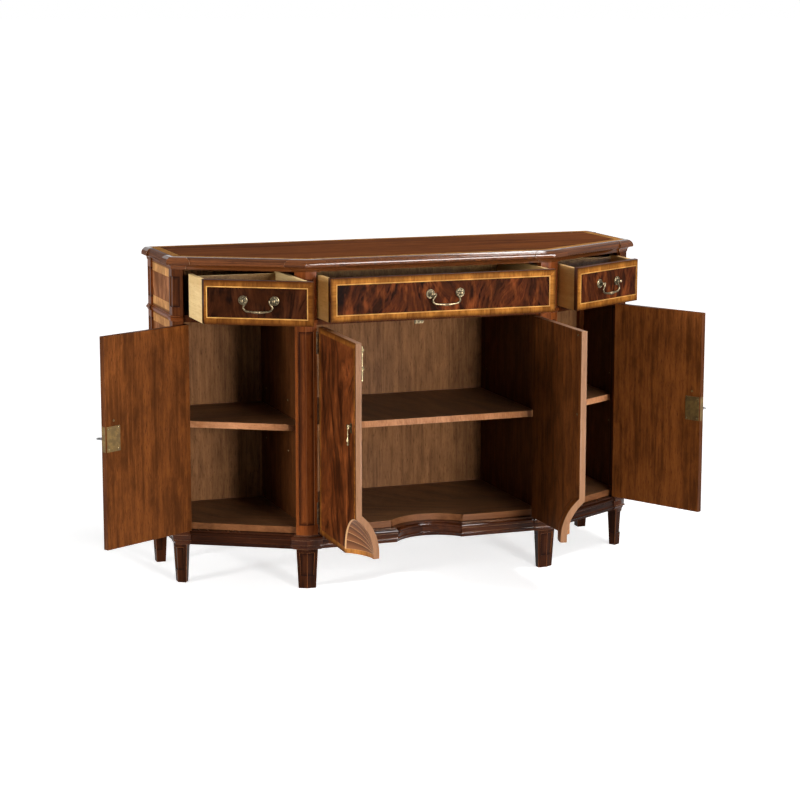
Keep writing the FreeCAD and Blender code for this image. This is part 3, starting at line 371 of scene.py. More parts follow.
def veneeredFront(name, half, layout, seed, lean, field, golden):  # half the width and half the height
    tree, shader = startMaterial(name, field["rough"], field["shine"])
    face = placed(tree, "face")
    edge = paint(*field["edge"])
    wanted = {"Face": face, "Half Wide": half[0], "Half High": half[1], "Band": layout["band"],
              "String": layout["string"]}
    part = useGroup(tree, bandedLayout, wanted)
    wanted = {label.title(): paint(*field[label]) for label in ("ground", "flame", "glow")}
    figure = useGroup(tree, flameFigure, dict(wanted, Face=face, Seed=seed, Lean=lean))
    band = layGrain(tree, golden, part["Grain"])
    patch = speckle(tree, face, *veneerLook["patch"])
    share = ease(tree, patch, *veneerLook["patchEdge"], 0.0, field["mottle"])
    mottled = mixTone(tree, share, figure["Color"], paint(*field["glow"]))
    tone = mixTone(tree, part["Field"], band["Color"], mottled)
    tone = mixTone(tree, part["String"], tone, paint(*field["string"]))
    darkerAtRim = ease(tree, part["Rim"], 0.0, field["darkRimReach"], veneerLook["rimShade"], 0.0)  # the veneer darkens towards its rim
    tone = mixTone(tree, darkerAtRim, tone, edge)
    blotch = speckle(tree, face, *veneerLook["blotch"])
    tone = mixTone(tree, ease(tree, blotch, *veneerLook["blotchShade"]), tone, edge)
    surface(tree, shader, tone, figure["Relief"], veneerLook["height"])


print("woods finished")


# copies of the solids with softened edges

rounding = {"wood": 0.0007, "board": 0.0006, "moulding": 0.0005, "block": 0.0004}
angles = {"flat": math.radians(0.3), "sharp": math.radians(25), "crease": math.radians(26)}
joinDistance = 1e-6
hair = 1e-4
smallEdge, boardEdge = 0.02, 0.05  # shorter edges stay sharp
facing = {"mostly": 0.7, "nearly": 0.8, "flat": 0.9, "curved": 0.97}  # shares of a face's normal
otherSide = 1.7


def cadCopy(node):
    bm = bmesh.new()
    bm.from_mesh(frame["nodes"][node].data)
    bmesh.ops.remove_doubles(bm, verts=bm.verts, dist=joinDistance)
    bmesh.ops.dissolve_limit(bm, angle_limit=angles["flat"], verts=bm.verts, edges=bm.edges)
    return bm


def bevel(bm, edges, width, segments, clamp):
    made = bmesh.ops.bevel(bm, geom=edges, offset=width, offset_type="OFFSET", segments=segments,
                           profile=0.5, affect="EDGES", clamp_overlap=clamp)
    return set(made["faces"])


def softenEdges(bm, width, shortest):
    sharp = []
    for edge in bm.edges:
        if edge.is_manifold and edge.calc_length() > shortest and edge.calc_face_angle() > angles["sharp"]:
            sharp.append(edge)
    made = bevel(bm, sharp, width, segments=2, clamp=False) if sharp else set()
    for face in made:
        face.tag = True
    return made


def sideways(n):  # the level direction in a face
    t = Vector((-n.y, n.x, 0))
    return t.normalized() if t.length > 0.3 else Vector((1, 0, 0))


def runRule(p, n):  # grain along the run of a moulding
    return Vector((p.dot(sideways(n)), p.z, p.dot(n)))


def uprightRule(p, n):
    return Vector((p.z, p.dot(sideways(n)), p.dot(n)))


def levelRule(p, n):
    return p.copy()


def deepRule(p, n):
    return Vector((p.y, p.x, p.z))


def spread(name):  # each node takes its own stretch of wood
    total = sum(ord(letter) * (place + 3) for place, letter in enumerate(name))
    return Vector((total % 97 * 0.071, total % 61 * 0.053, total % 43 * 0.037))


def ownGrain(node, rule):  # and so does each side of it
    shift = spread(node)
    return lambda p, n: rule(p, n) + (shift if p.x < 0 else shift * otherSide)


def layAttribute(bm, name, rule):
    layer = bm.loops.layers.float_vector.new(name)
    for face in bm.faces:
        for loop in face.loops:
            loop[layer] = rule(loop.vert.co, face.normal)


def asMesh(name, bm, finishes=()):
    for face in bm.faces:
        face.smooth = True
    mesh = bpy.data.meshes.new(name)
    for finish in finishes:
        mesh.materials.append(bpy.data.materials[finish])
    bm.to_mesh(mesh)
    bm.free()
    return mesh


def finishPiece(name, bm, finishes, body, slot, *replaced):
    for edge in bm.edges:
        soft = any(face.tag for face in edge.link_faces)
        edge.smooth = len(edge.link_faces) == 2 and (soft or edge.calc_face_angle() < angles["crease"])
    raw = asMesh("raw", bm, finishes)
    piece = bpy.data.objects.new(name, raw)
    scene.collection.objects.link(piece)
    shade = piece.modifiers.new("evenShading", "WEIGHTED_NORMAL")  # flat faces stay flat
    shade.keep_sharp = True
    shade.weight = 100
    settled = piece.evaluated_get(bpy.context.evaluated_depsgraph_get())
    mesh = bpy.data.meshes.new_from_object(settled)
    piece.modifiers.clear()
    piece.data = mesh
    bpy.data.meshes.remove(raw)
    mesh.name = name
    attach(piece, body)
    if replaced:
        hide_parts(*replaced)


def dressWood(node, rule, finishes, pick=None, edges="wood", shortest=smallEdge, slot="mahogany",
              extra=None):
    bm = cadCopy(node)
    worn = softenEdges(bm, rounding[edges], shortest) if edges else set()
    layAttribute(bm, "grain", ownGrain(node, rule))
    if extra:
        layAttribute(bm, "face", extra)
    for face in bm.faces:
        face.material_index = pick(face) if pick else int(face in worn)
    finishPiece(node + "_polished", bm, finishes, bodyOf[node], slot, node)


# mouldings, posts and legs

slantAngle = math.radians(30.5)
posts = {  # fold of the post, wood
    "back": ((0.678, -0.018, 0), "postMahogany"),
    "corner": ((0.678, -0.2745, 0), "cornerMahogany"),
    "front": ((0.358, -0.463, 0), "postMahogany"),
}
mouldings = (  # grain, wood, wood of the worn edges (on the base also a painted highlight), rounding, shortest edge that is rounded, nodes
    (runRule, "polishedCornice", "wornArris", "moulding", 0.1,
     ("top_moulding_slanted", "top_moulding_centre")),
    (runRule, "endCornice", "wornArris", "moulding", 0.1, ("top_moulding_returns",)),
    # the slanted and return runs of the base carry painted shade
    (runRule, "slantBase", "polishedBase", "wood", 0.1, ("base_moulding_returns", "base_moulding_slanted")),
    (levelRule, "polishedBase", "wornBase", "wood", 0.1, ("base_moulding_centre",)),
    (runRule, "polishedMahogany", "wornArris", "moulding", 0.1, ("waist_returns",)),
    (runRule, "polishedMahogany", "wornArris", "block", smallEdge, ("waist_collars",)),
)
blockLook = {"mitre": 0.0022, "square": math.radians(75), "profilePoints": 11, "level": 0.15}


def foldRule(fold):  # distance from a post's fold along either face, and the height
    def rule(p, n):
        flat = Vector((abs(p.x), p.y, 0)) - Vector(fold)
        side = Vector((abs(n.x) if p.x * n.x >= 0 else -abs(n.x), n.y, 0))
        return Vector((flat.dot(sideways(side)), p.z, 0))
    return rule


def mitreEdges(bm):  # where the front of a block meets the return at its end
    found = []
    for edge in bm.edges:
        pair = edge.link_faces
        if len(pair) == 2 and max(len(face.verts) for face in pair) < blockLook["profilePoints"]:
            first, second = [Vector((face.normal.x, face.normal.y, 0)) for face in pair]
            upright = min(first.length, second.length) > blockLook["level"]
            if upright and first.angle(second) > blockLook["square"]:
                found.append(edge)
    return found


def dressBlocks(node):  # painted highlights: pale lines on the mitres beside the runs stand for light caught by the block's returns
    bm = cadCopy(node)
    softenEdges(bm, rounding["block"], smallEdge)
    pale = bevel(bm, mitreEdges(bm), blockLook["mitre"], segments=1, clamp=True)
    layAttribute(bm, "grain", ownGrain(node, runRule))
    for face in bm.faces:
        face.material_index = 1 if face in pale else 2 if abs(face.normal.x) > facing["nearly"] else 0
    finishes = ["polishedCornice", "jointWood", "endCornice"]
    finishPiece(node + "_polished", bm, finishes, "cabinet", "mahogany", node)


for kind, (fold, wood) in posts.items():
    dressWood("posts_" + kind, uprightRule, [wood, "wornArris"], shortest=boardEdge, extra=foldRule(fold))
    dressWood("legs_" + kind, uprightRule, ["legMahogany", "wornArris"], extra=foldRule(fold))
for rule, wood, arris, edges, shortest, nodes in mouldings:
    for node in nodes:
        dressWood(node, rule, [wood, arris], edges=edges, shortest=shortest)
dressBlocks("top_corner_blocks")
dressWood("base_corner_blocks", runRule, ["polishedBase", "wornBase"], edges="block")
print("posts, legs and mouldings dressed")


# top

topLook = {
    "border": 0.001, "band": 0.023, "string": 0.0025, "ring": 0.03, "line": (70, 34, 16), "shift": 3.1,
    "rough": 0.4, "shine": 0.0003, "height": 0.08,
    "field": {"ground": (78, 38, 12), "streak": (136, 74, 30), "pore": (44, 20, 8), "pores": 0.5,
              "spread": 0.75},
    "golden": dict(crossband, ground=(152, 98, 44), streak=(208, 150, 82)),
    "rim": {"ground": (92, 50, 24), "streak": (138, 84, 46), "pore": (56, 28, 13), "pores": 0.4},
}


def topVeneer():
    tree, shader = startMaterial("topVeneer", topLook["rough"], topLook["shine"])
    rim, along, across = splitVector(tree, placed(tree, "face"))  # from the nearest edge, along it, across it
    field = layGrain(tree, topLook["field"], placed(tree, "grain"))
    golden = layGrain(tree, topLook["golden"], joinVector(tree, rim, along, across))
    border = layGrain(tree, topLook["rim"], joinVector(tree, along, rim, across))
    bandEnd = topLook["border"] + topLook["band"]
    tone = border["Color"]
    for start, inner in ((topLook["border"], golden["Color"]), (bandEnd, paint(*topLook["line"])),
                         (bandEnd + topLook["string"], field["Color"])):
        tone = mixTone(tree, calc(tree, "GREATER_THAN", rim, start), tone, inner)
    surface(tree, shader, tone, field["Relief"], topLook["height"])


def dressTop():  # only the flat upper face is split into its veneers
    bm = cadCopy("top_board")
    upper = max((f for f in bm.faces if f.normal.z > facing["flat"]), key=lambda f: f.calc_area())
    outline = [loop.vert.co.copy() for loop in upper.loops]
    bmesh.ops.delete(bm, geom=[upper], context="FACES_ONLY")
    deep = topLook["border"] + topLook["band"] + topLook["string"] + topLook["ring"]
    inner = []
    count = len(outline)
    for i in range(count):
        before = (outline[i] - outline[i - 1]).normalized()
        after = (outline[(i + 1) % count] - outline[i]).normalized()
        inward = up.cross(before) + up.cross(after)
        inner.append(outline[i] + inward * (deep / (1 + before.dot(after))))
    face = bm.loops.layers.float_vector.new("face")
    grain = bm.loops.layers.float_vector.new("grain")
    rows = []
    for i in range(count):
        k = (i + 1) % count
        ring = [outline[i], outline[k], inner[k], inner[i]]
        rows.append((bm.faces.new([bm.verts.new(p) for p in ring]), outline[i], outline[k]))
    rows.append((bm.faces.new([bm.verts.new(p) for p in inner]), None, None))
    bmesh.ops.remove_doubles(bm, verts=bm.verts, dist=joinDistance)
    bm.normal_update()
    for quad, start, end in rows:
        for loop in quad.loops:
            p = loop.vert.co
            loop[grain] = Vector((p.x + topLook["shift"], p.y, p.z))
            if start is None:
                loop[face] = Vector((deep, 0, 0))
            else:
                run = (end - start).normalized()
                loop[face] = Vector(((p - start).dot(up.cross(run)), (p - start).dot(run) + start.x, 0))
    for other in bm.faces:
        if other.normal.z < facing["flat"]:
            for loop in other.loops:
                loop[face] = Vector((0, loop.vert.co.x, 0))
                loop[grain] = loop.vert.co
    finishPiece("top_board_polished", bm, ["topVeneer"], "cabinet", "mahogany", "top_board")


topVeneer()
dressTop()
print("top dressed")


# case panels

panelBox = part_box("side_panels")
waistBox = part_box("waist_returns")
returnLook = {
    "band": 0.024, "string": 0.0015, "seed": 4.3, "upperSeed": 9.3, "lean": 0.5, "past": 0.1, "inset": 0.008,
    "field": dict(crotch, mottle=0.0, ground=(114, 68, 40), flame=(174, 114, 74), glow=(200, 140, 96),
                  string=(140, 84, 50), edge=(110, 68, 38), darkRimReach=0.003, shine=0.002),
    "golden": dict(crossband, ground=(180, 122, 70), streak=(236, 180, 116)),
}


def dressReturns():
    low, high = panelBox[0].z, panelBox[1].z
    split = (waistBox[0].z + waistBox[1].z) / 2
    middle = (waistBox[0].y + waistBox[1].y) / 2
    halfWide = (waistBox[1].y - waistBox[0].y) / 2 + returnLook["past"]
    inset = returnLook["inset"]
    for name, tall, seed in (("returnLowerVeneer", split - low, returnLook["seed"]),
                             ("returnUpperVeneer", high - split, returnLook["upperSeed"])):
        veneeredFront(name, (halfWide, tall / 2 - inset), returnLook, seed,
                      returnLook["lean"], returnLook["field"], returnLook["golden"])
    bm = cadCopy("side_panels")
    cut = bm.verts[:] + bm.edges[:] + bm.faces[:]
    bmesh.ops.bisect_plane(bm, geom=cut, plane_co=(0, 0, split), plane_no=(0, 0, 1))
    layAttribute(bm, "grain", ownGrain("side_panels", uprightRule))
    layer = bm.loops.layers.float_vector.new("face")
    for face in bm.faces:
        centre = face.calc_center_median()
        outer = abs(centre.x) > panelBox[1].x - hair and abs(face.normal.x) > facing["flat"]
        above = centre.z > split
        face.material_index = (2 if above else 1) if outer else 0
        level = (split + high + inset) / 2 if above else (split + low - inset) / 2
        for loop in face.loops:
            p = loop.vert.co
            loop[layer] = Vector((p.y - middle, p.z - level, 0))
    finishes = ["caseMahogany", "returnLowerVeneer", "returnUpperVeneer"]
    finishPiece("side_panels_polished", bm, finishes, "cabinet", "mahogany", "side_panels")


floorFront = -0.2


def frontPick(face):  # front edges of shelves and boards
    return int(face.normal.y < -facing["mostly"])


def edgePick(face):  # all the edges of the floor that show
    return int(abs(face.normal.z) < 0.5 and face.calc_center_median().y < floorFront)


def rearPick(face):
    return int(face.normal.y > 0.5)


casePieces = (  # grain, woods, how the faces are sorted, rounding, nodes
    (levelRule, ["shelfMahogany", "shelfLipping"], frontPick, "board",
     ("shelf_centre", "shelf_left", "shelf_right")),
    (levelRule, ["shelfMahogany", "floorLipping"], edgePick, "board", ("floor_panel",)),
    (levelRule, ["caseMahogany", "darkEdge"], frontPick, None, ("dust_board_centre", "dust_boards_side")),
    (uprightRule, ["caseMahogany", "polishedMahogany"], frontPick, None, ("dividers",)),
    (uprightRule, ["backPanelWood", "plainBackWood"], rearPick, None, ("back_panel",)),
    (deepRule, ["plainBackWood"], None, None, ("drawer_guides",)),
)
dressReturns()
for rule, finishes, pick, edges, nodes in casePieces:
    for node in nodes:
        dressWood(node, rule, finishes, pick, edges, boardEdge, "interior_wood")
print("case panels dressed")


# drawers and doors

fan = {
    "petals": 6, "half": 0.098, "depth": 0.05, "level": 0.164, "plane": -0.459, "thick": 0.017,
    "skin": 0.0015, "front": 0.001, "border": 0.0028, "rayHalf": 0.000605, "root": 0.0005, "shading": 0.95,
    "rough": 0.35, "shine": 0.15, "height": 0.05,
    "pale": (130, 82, 50), "shade": (90, 53, 31), "rayTone": (196, 146, 98), "rimTone": (196, 150, 104),
}
fanRadius = (fan["half"] ** 2 + fan["depth"] ** 2) / (2 * fan["depth"])
fanAxisY = fan["plane"] - fanRadius + fan["depth"]


def shutMatrix(name):  # from the shown place of a door to its closed place
    joint = joints[name]
    pin = Vector(joint["pos_m"])
    turn = Matrix.Rotation(math.radians(joint["range_deg"][0]), 4, Vector(joint["axis"]))
    return Matrix.Translation(pin) @ turn @ Matrix.Translation(-pin)


def dressFront(node, straighten, look, veneer, finishes, sort):
    bm = cadCopy(node)
    points = [straighten @ v.co for v in bm.verts]
    low = Vector([min(p[axis] for p in points) for axis in range(3)])
    high = Vector([max(p[axis] for p in points) for axis in range(3)])
    half = (high - low) / 2
    middle = (low + high) / 2
    veneeredFront(finishes[0], (half.x, half.z), look, *veneer)
    softenEdges(bm, look["bevel"], look["shortest"])
    turn = straighten.to_3x3()
    layer = bm.loops.layers.float_vector.new("face")
    grain = bm.loops.layers.float_vector.new("grain")
    shift = spread(node)
    for face in bm.faces:
        normal = turn @ face.normal
        face.material_index = sort(normal, straighten @ face.calc_center_median())
        upright = look["upright"] or abs(normal.x) > facing["mostly"]
        for loop in face.loops:
            p = straighten @ loop.vert.co
            loop[layer] = Vector((p.x - middle.x, p.z - middle.z, p.y - low.y))
            loop[grain] = Vector((p.z, p.x, p.y) if upright else (p.x, p.z, p.y)) + shift
            if face.material_index == 3:  # the fan
                loop[layer] = Vector((abs(p.x), p.z - fan["level"], 0))
    finishPiece(node + "_veneered", bm, finishes, bodyOf[node], "mahogany", node)


def boardSort(normal, centre):
    if normal.y < -facing["nearly"]:
        return 0
    return 2 if normal.y > facing["nearly"] else 1


def backPick(face):  # the broad faces across the back of a drawer, which take the stained wood with painted shade
    return int(face.normal.y < -facing["nearly"] and face.calc_area() > drawerLook["broadArea"])


drawerLook = {"upright": False, "band": 0.0165, "string": 0.0026, "bevel": 0.0006, "shortest": 0.03,
              "broadArea": 0.002}
quietField = dict(crotch, mottle=0.15, flame=(62, 31, 16), glow=(112, 62, 32))
quietBand = dict(crossband, ground=(90, 50, 17), streak=(148, 92, 37))
drawers = {  # turn of the front, seed and lean of its figure, veneer, crossband, wood of the box
    "left": (slantAngle, 1.7, 0.35, quietField, quietBand, "paleDrawerWood"),
    # the centre and right boxes carry painted shade
    "centre": (0.0, 8.2, 0.7, crotch, crossband, "warmDrawerWood"),
    "right": (-slantAngle, 15.4, 0.4, crotch, crossband, "warmDrawerWood"),
}
for name, (turn, seed, lean, field, golden, board) in drawers.items():
    drawer = "drawer_" + name
    finishes = ["drawerVeneer_" + name, "darkEdge", board]
    straighten = Matrix.Rotation(turn, 4, "Z")
    dressFront(drawer + "_front", straighten, drawerLook, (seed, lean, field, golden), finishes, boardSort)
    woodPair = [board, "brownDrawerWood"]
    dressWood(drawer + "_box", deepRule, woodPair, backPick, "board", boardEdge, "drawer_wood")
    dressWood(drawer + "_bottom", levelRule, ["brownDrawerWood"], edges=None, slot="drawer_wood")
print("drawers dressed")


def fanInlay():  # shaded petals that spread from the meeting corner of the doors
    tree, shader = startMaterial("fanInlay", fan["rough"], fan["shine"])
    u, v = splitVector(tree, placed(tree, "face"))[:2]
    perTurn = fan["petals"] / (math.pi / 2)
    angle = calc(tree, "ARCTAN2", v, calc(tree, "ADD", u, fan["root"]))
    part = calc(tree, "FRACT", calc(tree, "MULTIPLY", angle, perTurn))
    reach = calc(tree, "SQRT", calc(tree, "MULTIPLY_ADD", u, u, calc(tree, "MULTIPLY", v, v)))
    tone = mixTone(tree, ease(tree, part, 0.0, fan["shading"]), paint(*fan["pale"]), paint(*fan["shade"]))
    gap = calc(tree, "MULTIPLY", calc(tree, "MINIMUM", part, calc(tree, "SUBTRACT", 1.0, part)), reach)
    ray = calc(tree, "LESS_THAN", gap, fan["rayHalf"] * perTurn)
    tone = mixTone(tree, ray, tone, paint(*fan["rayTone"]))
    border = calc(tree, "GREATER_THAN", reach, fan["half"] - fan["border"])
    tone = mixTone(tree, border, tone, paint(*fan["rimTone"]))
    band = layGrain(tree, crossband, joinVector(tree, v, u, 0.0))
    tone = mixTone(tree, calc(tree, "LESS_THAN", v, 0.0), tone, band["Color"])
    surface(tree, shader, tone, band["Relief"], fan["height"])


def centreSort(normal, centre):
    rise = max(centre.z - fan["level"], 0)
    reach = math.sqrt(centre.x ** 2 + (centre.y - fanAxisY) ** 2 + rise ** 2) - fanRadius
    curved = max(abs(normal.z), abs(normal.x)) < facing["curved"]
    if curved and abs(reach) < fan["skin"] and centre.y > fan["plane"] + hair:
        return 3
    if normal.y < -facing["nearly"] and centre.y < fan["plane"] + fan["front"]:
        return 0
    if curved and abs(reach - fan["thick"]) < fan["skin"]:
        return 2
    return 2 if normal.y > facing["nearly"] else 1


doorLook = {"upright": True, "band": 0.015, "string": 0.0012, "bevel": 0.0008, "shortest": 0.07, "lean": 0.25}
doorField = dict(crotch, mottle=0.12, ground=(48, 22, 10), flame=(132, 68, 32), glow=(196, 112, 56),
                 string=(120, 70, 34))
doorBand = dict(crossband, ground=(112, 62, 22), streak=(176, 112, 46))
doors = {  # turn of the closed door, seed of its figure, edge, inner face, how the faces are sorted
    "left": (slantAngle, 21.3, "brownEdge", "insideMahogany", boardSort),
    "right": (-slantAngle, 27.9, "brownEdge", "insideMahogany", boardSort),
    # the centre doors' inner faces carry painted shade
    "centre_left": (0.0, 33.1, "edgeLipping", "centreMahogany", centreSort),
    "centre_right": (0.0, 39.7, "edgeLipping", "centreMahogany", centreSort),
}
fanInlay()
for name, (turn, seed, edge, inside, sort) in doors.items():
    door = "door_" + name
    finishes = ["doorVeneer_" + name, edge, inside, "fanInlay"]
    straighten = Matrix.Rotation(turn, 4, "Z") @ shutMatrix(door + "_hinge")
    dressFront(door, straighten, doorLook, (seed, doorLook["lean"], doorField, doorBand), finishes, sort)
print("doors dressed")


# metal

metals = {  # bright and dull tone, size of the clouding, roughness, share of metal, height of the grit
    "agedBrass": ((112, 98, 74), (60, 51, 36), 160, 0.36, 0.9, 0.2),
    "lockBrass": ((112, 88, 44), (84, 64, 30), 60, 0.45, 0.6, 0.08),
    "hingeBrass": ((84, 62, 36), (50, 34, 19), 120, 0.5, 0.7, 0.15),
    "plateBrass": ((98, 85, 57), (62, 52, 33), 160, 0.5, 0.85, 0.1),
    "rosetteBrass": ((78, 70, 51), (44, 39, 27), 200, 0.45, 0.8, 0.2),
    "wornSteel": ((150, 150, 150), (86, 86, 88), 140, 0.35, 0.9, 0.15),
    "paleBrass": ((188, 170, 130), (130, 114, 82), 160, 0.2, 0.85, 0.1),
    "rimBrass": ((122, 106, 80), (78, 66, 47), 160, 0.34, 0.9, 0.1),
}
fittings = {
    "hingeBrass": ("hinge_leaves_posts", "door_left_hardware", "door_right_hardware"),
    "agedBrass": ("strike_plate", "shelf_pegs", "drawer_left_bail", "drawer_centre_bail",
                  "drawer_right_bail"),
    "lockBrass": ("door_left_lock", "door_right_lock"),
    "wornSteel": ("door_left_key", "door_right_key"),
    "paleBrass": ("door_centre_left_bolt", "door_centre_left_drop", "door_centre_right_drop"),
    "rosetteBrass": ("drawer_left_rosettes", "drawer_centre_rosettes", "drawer_right_rosettes"),
}
metalLook = {
    "shine": 0.5, "clouds": (4.0, 0.6), "grit": ((1400, 1400, 1400), 2.0, 0.6), "tones": (0.38, 0.66),
    "dulling": (0.3, 0.7), "moreRough": 0.12,
}
hingeReach = 0.06


def metalFinish(name, bright, dull, clouding, rough, metal, height):
    tree, shader = startMaterial(name, rough, metalLook["shine"], metal)
    place = addNode(tree, "ShaderNodeTexCoord").outputs["Object"]
    cloud = speckle(tree, place, (clouding,) * 3, *metalLook["clouds"])
    grit = speckle(tree, place, *metalLook["grit"])
    tone = mixTone(tree, ease(tree, cloud, *metalLook["tones"]), paint(*dull), paint(*bright))
    worn = ease(tree, cloud, *metalLook["dulling"], rough + metalLook["moreRough"], rough)
    feed(tree, shader.inputs["Roughness"], worn)
    surface(tree, shader, tone, grit, height)


def dressHardware(node, joint):  # dark hinge leaves, clearer plates and studs
    bm = cadCopy(node)
    pin = Vector(joints[joint]["pos_m"])
    for face in bm.faces:
        away = face.calc_center_median() - pin
        face.material_index = int(math.hypot(away.x, away.y) > hingeReach)
    finishPiece(node + "_fitted", bm, ["hingeBrass", "plateBrass"], bodyOf[node], "brass", node)


for name, look in metals.items():
    metalFinish(name, *look)
for metal, nodes in fittings.items():
    for node in nodes:
        skin = frame["nodes"][node].data.materials
        skin.clear()
        skin.append(bpy.data.materials[metal])
for side in ("left", "right"):
    dressHardware("door_centre_" + side + "_hardware", "door_centre_" + side + "_hinge")
print("metal finished")


# turned and repeated metalwork

def turned(profile, steps=28, sweep=2 * math.pi):  # profile of radius and height in millimetres
    bm = bmesh.new()
    points = [bm.verts.new((r / 1000, 0, h / 1000)) for r, h in profile]
    lines = [bm.edges.new(pair) for pair in zip(points, points[1:])]
    bmesh.ops.spin(bm, geom=points + lines, cent=(0, 0, 0), axis=(0, 0, 1), angle=sweep, steps=steps)
    bmesh.ops.remove_doubles(bm, verts=bm.verts, dist=joinDistance)
    if sweep < 2 * math.pi:
        bmesh.ops.holes_fill(bm, edges=bm.edges)
    bmesh.ops.recalc_face_normals(bm, faces=bm.faces)
    return bm


def addCopy(bm, mesh, matrix):
    first = len(bm.verts)
    bm.from_mesh(mesh)
    bm.verts.ensure_lookup_table()
    bmesh.ops.transform(bm, matrix=matrix, verts=bm.verts[first:])


def standing(place, out):  # a turned piece stands on a face
    return Matrix.Translation(place) @ out.to_track_quat("Z", "Y").to_matrix().to_4x4()


def startRepeat(name, inputs):
    inputs = {"Geometry": "Geometry", "Shape": "Object", "Finish": "Material", **inputs}
    return openTree(name, "GeometryNodeTree", inputs, {"Geometry": "Geometry"})


def endRepeat(tree, given, result, points, rotation):
    shape = addNode(tree, "GeometryNodeObjectInfo", {"Object": given["Shape"]}).outputs["Geometry"]
    wanted = {"Points": points, "Instance": shape, "Rotation": rotation}
    laid = addNode(tree, "GeometryNodeInstanceOnPoints", wanted).outputs[0]
    solid = addNode(tree, "GeometryNodeRealizeInstances", {"Geometry": laid}).outputs[0]
    named = addNode(tree, "GeometryNodeSetMaterial", {"Geometry": solid, "Material": given["Finish"]})
    feed(tree, result["Geometry"], named.outputs[0])
    return tree


def makeRing():  # a shape repeated round a circle
    tree, given, result = startRepeat("ringOf", {"Count": "Int", "Radius": "Float"})
    circle = addNode(tree, "GeometryNodeMeshCircle", {"Vertices": given["Count"], "Radius": given["Radius"]})
    place = addNode(tree, "GeometryNodeInputPosition").outputs[0]
    turn = addNode(tree, "FunctionNodeAlignRotationToVector", {"Vector": place}, axis="X").outputs[0]
    return endRepeat(tree, given, result, circle.outputs["Mesh"], turn)


def makeHeads():  # a shape set on each point, turned at random about its own axis
    tree, given, result = startRepeat("headsOn", {"Seed": "Int"})
    points = addNode(tree, "GeometryNodeMeshToPoints", {"Mesh": given["Geometry"]}).outputs[0]
    out = addNode(tree, "GeometryNodeInputNamedAttribute", {"Name": "out"}, data_type="FLOAT_VECTOR")
    turn = addNode(tree, "FunctionNodeAlignRotationToVector", {"Vector": out.outputs[0]}, axis="Z").outputs[0]
    wanted = {2: 0.0, 3: math.pi, "Seed": given["Seed"]}
    angle = addNode(tree, "FunctionNodeRandomValue", wanted, data_type="FLOAT").outputs[1]
    spun = addNode(tree, "ShaderNodeCombineXYZ", {"Z": angle}).outputs[0]
    own = addNode(tree, "FunctionNodeRotateRotation", {0: turn, 1: spun}, rotation_space="LOCAL").outputs[0]
    return endRepeat(tree, given, result, points, own)


def repeat(tree, shape, finish, values, mesh=None):
    model = bpy.data.objects.new("model", shape)
    holder = bpy.data.objects.new("holder", mesh or bpy.data.meshes.new("start"))
    for each in (model, holder):
        scene.collection.objects.link(each)
    modifier = holder.modifiers.new("repeat", "NODES")
    modifier.node_group = tree
    wanted = dict(values, Shape=model, Finish=bpy.data.materials[finish])
    for item in tree.interface.items_tree:
        if item.in_out == "INPUT" and item.name in wanted:
            modifier[item.identifier] = wanted[item.name]
    settled = holder.evaluated_get(bpy.context.evaluated_depsgraph_get())
    made = bpy.data.meshes.new_from_object(settled)
    for each in (model, holder):
        bpy.data.objects.remove(each)
    return made


ringOf = makeRing()
headsOn = makeHeads()

rosette = {
    "half": 0.0425, "faceBack": 0.0098, "petals": 8, "petalRing": 0.0069, "petalStretch": 1.9,
    "capRise": 0.0138, "drop": 0.030, "bend": 3.3,
}
rimProfile = [(10.3, 0.0), (10.3, 0.5), (10.8, 1.2), (11.6, 1.3), (12.2, 0.8), (12.4, 0.0), (10.3, 0.0)]
capProfile = [(0, 1.6), (1.6, 1.4), (3.0, 0.8), (3.9, 0.0), (3.9, -0.6), (0, -0.6)]
petalProfile = [(0, 0.9), (0.7, 0.75), (1.2, 0.3), (1.3, -0.3), (0, -0.3)]
gripHalf = [(3.6, 1.6), (3.3, 3.2), (3.9, 4.4), (3.2, 5.6), (3.5, 7), (3, 12), (2.7, 17), (2.5, 19), (0, 19)]
gripProfile = [(r, -h) for r, h in reversed(gripHalf)] + [(4.3, 0)] + gripHalf
rimMesh = asMesh("rosetteRim", turned(rimProfile))
capMesh = asMesh("postCap", turned(capProfile))
gripMesh = asMesh("bailGrip", turned(gripProfile))
petal = turned(petalProfile, 14)
bmesh.ops.scale(petal, vec=(rosette["petalStretch"], 1.0, 1.0), verts=petal.verts)
petals = repeat(ringOf, asMesh("petal", petal), "rimBrass",
                {"Count": rosette["petals"], "Radius": rosette["petalRing"]})
for name in ("left", "centre", "right"):
    joint = joints["bail_" + name + "_swing"]
    middle, along = Vector(joint["pos_m"]), Vector(joint["axis"])
    out = along.cross(up)
    out = out if out.y < 0 else -out
    rims = bmesh.new()
    for side in (-1, 1):
        foot = middle + along * side * rosette["half"] - out * rosette["faceBack"]
        addCopy(rims, rimMesh, standing(foot, out))
        addCopy(rims, petals, standing(foot, out))
        addCopy(rims, capMesh, standing(foot + out * rosette["capRise"], out))
    finishPiece("drawer_" + name + "_rosette_rims", rims, ["rimBrass"], "drawer_" + name, "brass")
    grip = bmesh.new()
    addCopy(grip, gripMesh, standing(middle - up * rosette["drop"], along))
    for corner in grip.verts:  # the grip bends with the bail
        corner.co.z += rosette["bend"] * (corner.co - middle).dot(along) ** 2
    finishPiece("bail_" + name + "_grip", grip, ["rimBrass"], "bail_" + name, "brass")

